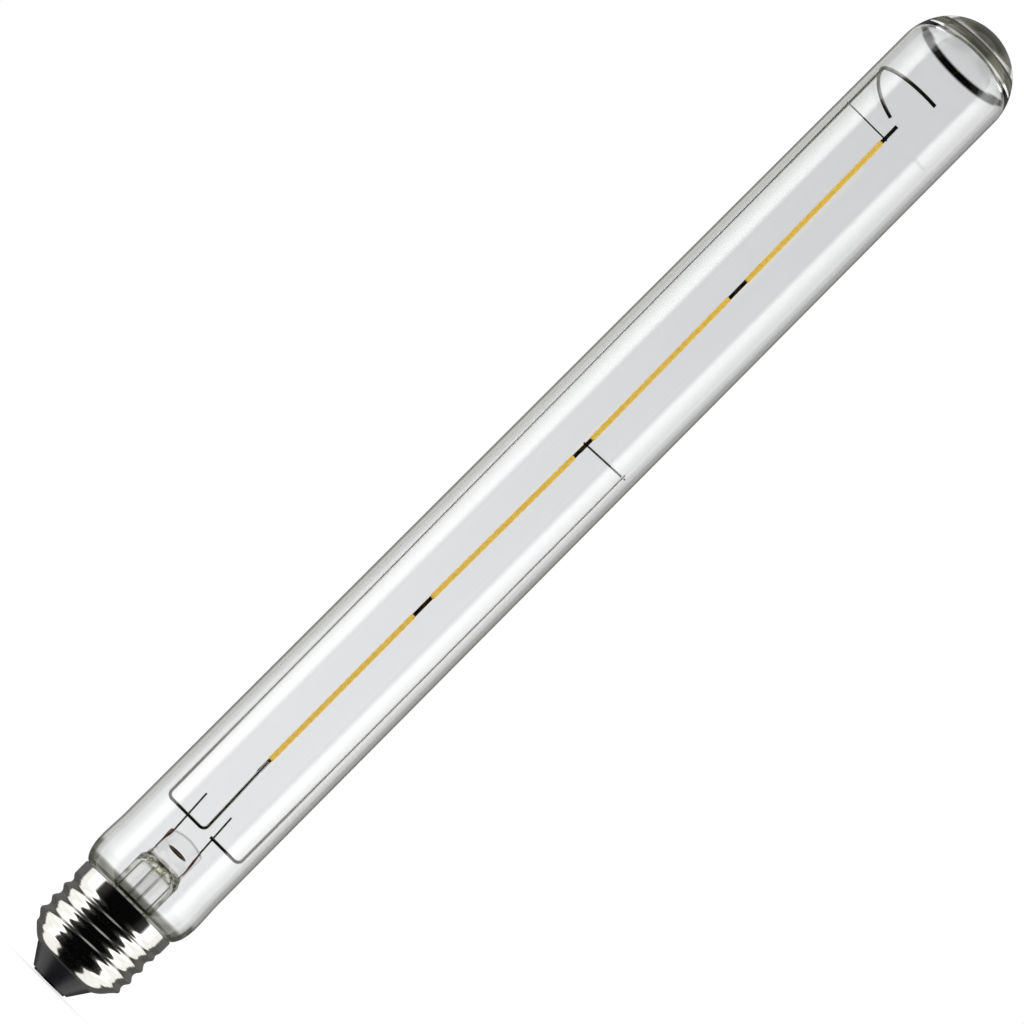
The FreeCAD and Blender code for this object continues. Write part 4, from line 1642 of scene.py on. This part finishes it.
@dataclass
class Filaments(Assembly):
    """Four coated filaments in a row, joined by flat tabs."""

    start: float = 70.2
    length: float = 46.35
    step: float = 52.1
    radius: float = 0.65
    end_round: float = 0.35
    plane: float = -0.24
    tab_width: float = 0.95
    tab_thickness: float = 0.25
    reach: float = 3.9
    last_reach: float = 5.3
    inset: float = 1.2
    tab_round: float = 0.05
    tab_sharp: float = 35.0
    round_steps: int = 5
    rows: int = 150
    sides: int = 32
    # Place across of each filament's foot, and of the last one's head
    drifts: tuple[float, ...] = (0.0, -0.07, 0.3, -0.22, -0.8)

    def build(self) -> None:
        """Make and fit every filament and its tabs."""
        tab, inset = self.tab_thickness, self.inset
        count = len(self.drifts) - 1
        for number in range(1, count + 1):
            foot, head = self.drifts[number - 1], self.drifts[number]
            spot = Vector((foot, self.plane, self.start + self.step * (number - 1))) * MM
            lean = math.atan((head - foot) / self.step)
            matrix = Matrix.Translation(spot) @ Matrix.Rotation(lean, 4, "Y")
            self.make_coat(number, matrix)
            end = self.length + (self.last_reach if number == count else self.reach)
            self.make_tab(number, "lower", matrix, (0.0, tab), (-self.reach, inset))
            self.make_tab(number, "upper", matrix, (-tab, 0.0), (self.length - inset, end))
            self.shop.dress(Slot.SUBSTRATE, f"substrate_{number}")
            self.shop.dress(Slot.LED_CHIP, f"led_chips_{number}")

    def make_coat(self, number: int, matrix: Matrix) -> None:
        """Coating of one filament, swollen a little over each chip.

        Args:
            number: Which filament.
            matrix: Place of the filament.
        """
        soft = self.end_round
        run = self.length - 2 * soft
        foot = arc((self.radius - soft, soft), soft, -QUARTER, 0.0, self.round_steps)
        body = [(self.radius, soft + run * row / self.rows) for row in range(1, self.rows)]
        head = [(radius, self.length - height) for radius, height in foot[::-1]]
        profile = [(0.0, 0.0)] + foot + body + head + [(0.0, self.length)]
        name = f"coat_{number}"
        made = self.shop.grown(
            name, lathe(profile, self.sides).mesh(name), "coated bar", Slot.PHOSPHOR,
            {"Length": self.length * MM, "Seed": float(number)},
        )
        self.shop.fit(name, placed(made, matrix), Slot.PHOSPHOR, f"phosphor_{number}")

    def make_tab(
        self, number: int, side: str, matrix: Matrix, depth: Point2, span: Point2
    ) -> None:
        """Flat tab with softened edges and a clipped free end.

        Args:
            number: Filament that it belongs to.
            side: "lower" or "upper".
            matrix: Place of the filament.
            depth: Its faces through the filament.
            span: Its ends along the filament.
        """
        shape = bmesh.new()
        bmesh.ops.create_cube(shape, size=1.0)
        size = (self.tab_width, depth[1] - depth[0], span[1] - span[0])
        middle = (0.0, sum(depth) / 2, sum(span) / 2)
        for corner in shape.verts:
            corner.co = Vector(
                MM * (part * width + centre) for part, width, centre in zip(corner.co, size, middle)
            )
        bmesh.ops.bevel(
            shape, geom=shape.edges[:], offset=self.tab_round * MM, segments=2, affect="EDGES",
            profile=0.5,
        )
        name = f"{side}_strip_{number}"
        made = shaded(plain_mesh(name, shape), self.tab_sharp)
        self.shop.fit(name, placed(made, matrix), Slot.FILAMENT_TAB, f"{side}_tab_{number}")


class Driver(Assembly):
    """Small board with its components, out of sight inside the cap."""

    def build(self) -> None:
        """Dress the solids of the driver."""
        self.shop.dress(Slot.BOARD, "driver_board")
        self.shop.dress(Slot.CAPACITOR_CAN, "smoothing_capacitor")
        self.shop.dress(Slot.RESISTOR, "fuse_resistor")
        self.shop.dress(Slot.CHIP_PACKAGE, "rectifier", "driver_chip")
        self.shop.dress(Slot.HOOKUP_WIRE, "phase_wire", "neutral_wire")


# The studio


@dataclass
class Surroundings:
    """White behind the lamp, bright panels at both sides and a dark front, by direction.

    A direction has its x to the right, y away from the camera and z up along the lamp.  Side
    and depth are its x and y when it is laid flat.
    """

    graph: Graph
    shortest: float = 0.42
    edge: float = 0.885
    edge_width: float = 0.05
    turned: Ramp = Ramp(0.0, 0.3)
    edge_behind: Ramp = Ramp(0.3, 0.75, 0.4)
    edge_before: Ramp = Ramp(0.7, 0.95, 0.08)
    front: Ramp = Ramp(-0.1, 0.12)
    panel_front: float = 0.9
    panel_back: float = 1.4
    panel_top: Ramp = Ramp(0.7, 0.86)
    panel_foot: Ramp = Ramp(-0.2, -0.08)
    foot_loss: float = 0.9
    inner_loss: float = 0.2
    halo: Ramp = Ramp(0.55, 0.92, 0.05)
    rim: float = 0.16
    rim_inside: float = 0.12
    rim_left: Ramp = Ramp(0.25, 0.5, 0.42)
    rim_right: Ramp = Ramp(0.25, 0.45, 0.16)
    low: float = 0.7
    low_loss: float = 0.45
    behind: Ramp = Ramp(0.3, 0.7)
    horizon: Ramp = Ramp(-0.06, 0.02)
    overhead: Ramp = Ramp(0.93, 0.97, 0.5)
    least: float = 0.003
    core: Ramp = Ramp(0.02, 0.1, 0.14)
    fade_right: Ramp = Ramp(0.3, 0.5, 0.25)
    fade_sides: Ramp = Ramp(0.5, 0.6, 0.3)
    sheet: Ramp = Ramp(0.0, 0.1)
    sheet_panels: float = 0.5
    gap_start: Ramp = Ramp(0.36, 0.4)
    gap_end: Ramp = Ramp(0.47, 0.51)
    upper: float = 0.96
    upper_fall: Ramp = Ramp(0.02, 0.33, 0.2)
    upper_end: Ramp = Ramp(0.75, 0.95, 0.3)
    level: Ramp = Ramp(-0.09, -0.05)
    below: Ramp = Ramp(0.4, 0.55, 0.75)
    soft: float = 1.3
    cool: float = 0.02
    warm: float = 0.05
    warm_below: Ramp = Ramp(0.0, 0.1, 0.17)
    pale: Ramp = Ramp(0.1, 0.5)

    def __post_init__(self) -> None:
        """Read the direction and the kind of each ray."""
        graph = self.graph
        self.x, self.y, self.z = graph.split(graph.out("ShaderNodeTexCoord", "Generated"))
        self.down = self.z * -1.0
        path = graph.add("ShaderNodeLightPath").outputs
        self.seen = Signal(graph, path["Is Camera Ray"])
        self.mirrored, self.scattered, self.inside = (
            Signal(graph, path[f"{kind} Depth"]).above(0.5)
            for kind in ("Glossy", "Diffuse", "Transmission")
        )
        flat = graph.length(self.x, self.y).larger(self.shortest)
        self.side, self.depth = self.x / flat, self.y / flat
        self.left = self.side * -1.0
        turned = self.turned.on(self.y)
        behind = self.edge_behind.on(self.down) * turned
        before = self.edge_before.on(self.down) * (1 - turned)
        edge = self.edge - behind + before
        ends = (edge, edge + self.edge_width)
        self.sides = self.side.eased(*ends) + self.left.eased(*ends)

    def panels(self) -> Signal:
        """Light of the two side panels.

        Returns:
            The light.
        """
        light = self.sides * (self.front.off(self.depth) * self.panel_front + self.panel_back)
        foot = 1 - self.inside * self.panel_foot.off(self.z) * self.foot_loss
        return light * self.panel_top.off(self.z) * foot * (1 - self.inside * self.inner_loss)

    def mirror(self, panels: Signal) -> Signal:
        """Light that comes by way of a mirrored ray.

        Args:
            panels: Light of the side panels.

        Returns:
            The light.
        """
        within = self.rim_left.on(self.left) + self.rim_right.on(self.side) + self.rim_inside
        low = self.low - self.inside * self.low_loss
        behind = self.behind.on(self.y) * (low + (1 - low) * self.horizon.on(self.z))
        behind = behind * (self.rim + self.inside * within)
        halo = self.halo.on(abs(self.side))
        return panels + halo + behind + self.overhead.on(self.z) + self.least

    def through(self) -> Signal:
        """Light that comes straight through the glass.

        Returns:
            The light.
        """
        wide = abs(self.side)
        core = self.core.off(wide) - self.fade_right.on(self.side) - self.fade_sides.on(wide)
        sheet = core * self.sheet.on(self.depth) + self.sides * self.sheet_panels
        gap = self.gap_start.on(self.z) * self.gap_end.off(self.z)
        upper = self.upper - self.upper_fall.on(self.z) - self.upper_end.on(self.z)
        level = self.level.on(self.z)
        return level * sheet * upper * (1 - gap) + (1 - level) * self.below.off(self.down)

    def colour(self) -> Signal:
        """Light of every direction, a little cool straight through and warm inside the glass.

        Returns:
            The colour.
        """
        panels = self.panels()
        direct, unseen = 1 - self.mirrored, 1 - self.seen
        light = self.mirrored * self.mirror(panels) + direct * self.through()
        light = self.scattered * self.soft + (1 - self.scattered) * light
        light = self.seen + unseen * light
        cool = light * (1 - unseen * direct * (1 - self.scattered) * self.cool)
        warmth = self.inside * self.mirrored * self.pale.off(panels)
        warm = light * (1 - warmth * (self.warm_below.on(self.down) + self.warm))
        return self.graph.out("ShaderNodeCombineColor", 0, None, {0: cool, 1: cool, 2: warm})


@dataclass(frozen=True)
class SoftBox:
    """A soft lamp: its name, place and size in metres, and power in watts."""

    name: str
    spot: Point3
    size: Point2
    power: float


@dataclass
class Studio:
    """Pale floor, soft light from both sides and the camera."""

    target: Point3 = (-0.88, 0.0, 149.5)
    distance: float = 900.0
    elevation: float = -8.23
    roll: float = 44.925
    focal_pixels: float = 3922.0
    image_pixels: float = 1024.0
    sensor: float = 36.0
    nearest: float = 0.1
    farthest: float = 50.0
    floor_drop: float = 0.4
    floor_radius: float = 6.0
    floor_segments: int = 96
    floor_tones: tuple[Colour, Colour] = ((0.9, 0.9, 0.9), (0.88, 0.88, 0.88))
    floor_scale: float = 6.0
    floor_roughness: float = 0.9
    floor_glow: float = 0.65
    aim: Point3 = (0.0, 0.0, 0.15)
    boxes: tuple[SoftBox, ...] = (
        SoftBox("left", (-1.2, -0.1, 0.5), (0.8, 1.4), 5.0),
        SoftBox("right", (1.2, -0.1, 0.5), (0.8, 1.4), 5.0),
        SoftBox("top", (0.0, -0.4, 1.8), (1.2, 1.2), 4.0),
    )

    def build(self) -> None:
        """Make the camera, the floor, the lamps and the surroundings."""
        self.make_camera()
        self.make_floor()
        for box in self.boxes:
            self.make_lamp(box)
        self.make_surroundings()

    def make_camera(self) -> None:
        """Long lens below the lamp's middle, rolled so that the lamp lies on a diagonal."""
        tip = math.radians(self.elevation)
        back = Vector((0.0, -math.cos(tip), math.sin(tip)))
        level = Vector((1.0, 0.0, 0.0))
        upright = back.cross(level)
        roll = math.radians(self.roll)
        across = level * math.cos(roll) + upright * math.sin(roll)
        up = upright * math.cos(roll) - level * math.sin(roll)
        data = bpy.data.cameras.new("camera")
        data.sensor_width = self.sensor
        data.lens = data.sensor_width * self.focal_pixels / self.image_pixels
        data.clip_start, data.clip_end = self.nearest, self.farthest
        camera = put("camera", data)
        spot = (Vector(self.target) + back * self.distance) * MM
        turn = Matrix((across, up, back)).transposed().to_4x4()
        camera.matrix_world = Matrix.Translation(spot) @ turn
        bpy.context.scene.camera = camera

    def make_floor(self) -> None:
        """Round pale floor just under the contact, clear when seen from below."""
        shape = bmesh.new()
        bmesh.ops.create_circle(
            shape, cap_ends=True, segments=self.floor_segments, radius=self.floor_radius
        )
        for corner in shape.verts:
            corner.co.z = -self.floor_drop * MM
        bmesh.ops.recalc_face_normals(shape, faces=shape.faces)
        for face in shape.faces:
            if face.normal.z < 0:
                face.normal_flip()
        made = plain_mesh("floor", shape)
        made.materials.append(self.floor_material())
        floor = put("floor", made)
        floor.visible_glossy = False
        floor.visible_transmission = False

    def floor_material(self) -> bpy.types.Material:
        """Pale paper, partly lit for the camera and clear from below.

        Returns:
            The material.
        """
        made = bpy.data.materials.new("floor")
        made.use_nodes = True
        graph = Graph(made.node_tree)
        tone = graph.mix(graph.noise(graph.object_place(), self.floor_scale), *self.floor_tones)
        paper = graph.out(
            "ShaderNodeBsdfPrincipled", 0, None,
            {"Base Color": tone, "Roughness": self.floor_roughness},
        )
        white = graph.out("ShaderNodeEmission", 0, None, {"Color": (1.0, 1.0, 1.0, 1.0)})
        seen = graph.out("ShaderNodeLightPath", "Is Camera Ray") * self.floor_glow
        paper = graph.out("ShaderNodeMixShader", 0, None, {0: seen, 1: paper, 2: white})
        clear = graph.out("ShaderNodeBsdfTransparent", 0)
        below = graph.out("ShaderNodeNewGeometry", "Backfacing")
        both = graph.out("ShaderNodeMixShader", 0, None, {0: below, 1: paper, 2: clear})
        graph.add("ShaderNodeOutputMaterial", None, {"Surface": both})
        return made

    def make_lamp(self, box: SoftBox) -> None:
        """Set up one soft lamp, seen only by what it lights.

        Args:
            box: The lamp.
        """
        data = bpy.data.lights.new(box.name, "AREA")
        data.shape = "RECTANGLE"
        data.size, data.size_y = box.size
        data.energy = box.power
        lamp = put(box.name, data)
        lamp.location = box.spot
        lamp.rotation_mode = "QUATERNION"
        way = Vector(self.aim) - Vector(box.spot)
        lamp.rotation_quaternion = way.to_track_quat("-Z", "Y")
        lamp.visible_camera = False
        lamp.visible_glossy = False
        lamp.visible_transmission = False

    def make_surroundings(self) -> None:
        """Light the scene from all round."""
        world = bpy.data.worlds.new("studio")
        bpy.context.scene.world = world
        world.use_nodes = True
        world.cycles.sampling_method = "NONE"
        graph = Graph(world.node_tree)
        colour = Surroundings(graph).colour()
        light = graph.out("ShaderNodeBackground", 0, None, {"Color": colour, "Strength": 1.0})
        graph.add("ShaderNodeOutputWorld", None, {"Surface": light})


def main() -> None:
    """Build the lamp and the studio round it."""
    logging.basicConfig(level=logging.INFO, format="%(name)s: %(message)s")
    bpy.context.scene.view_settings.view_transform = "Standard"
    shop = Workshop()
    for assembly in (Cap, Envelope, Stem, Wires, Filaments, Driver):
        log.info("%s", assembly.__name__)
        assembly(shop).build()
    Studio().build()


if __name__ == "__main__":
    main()
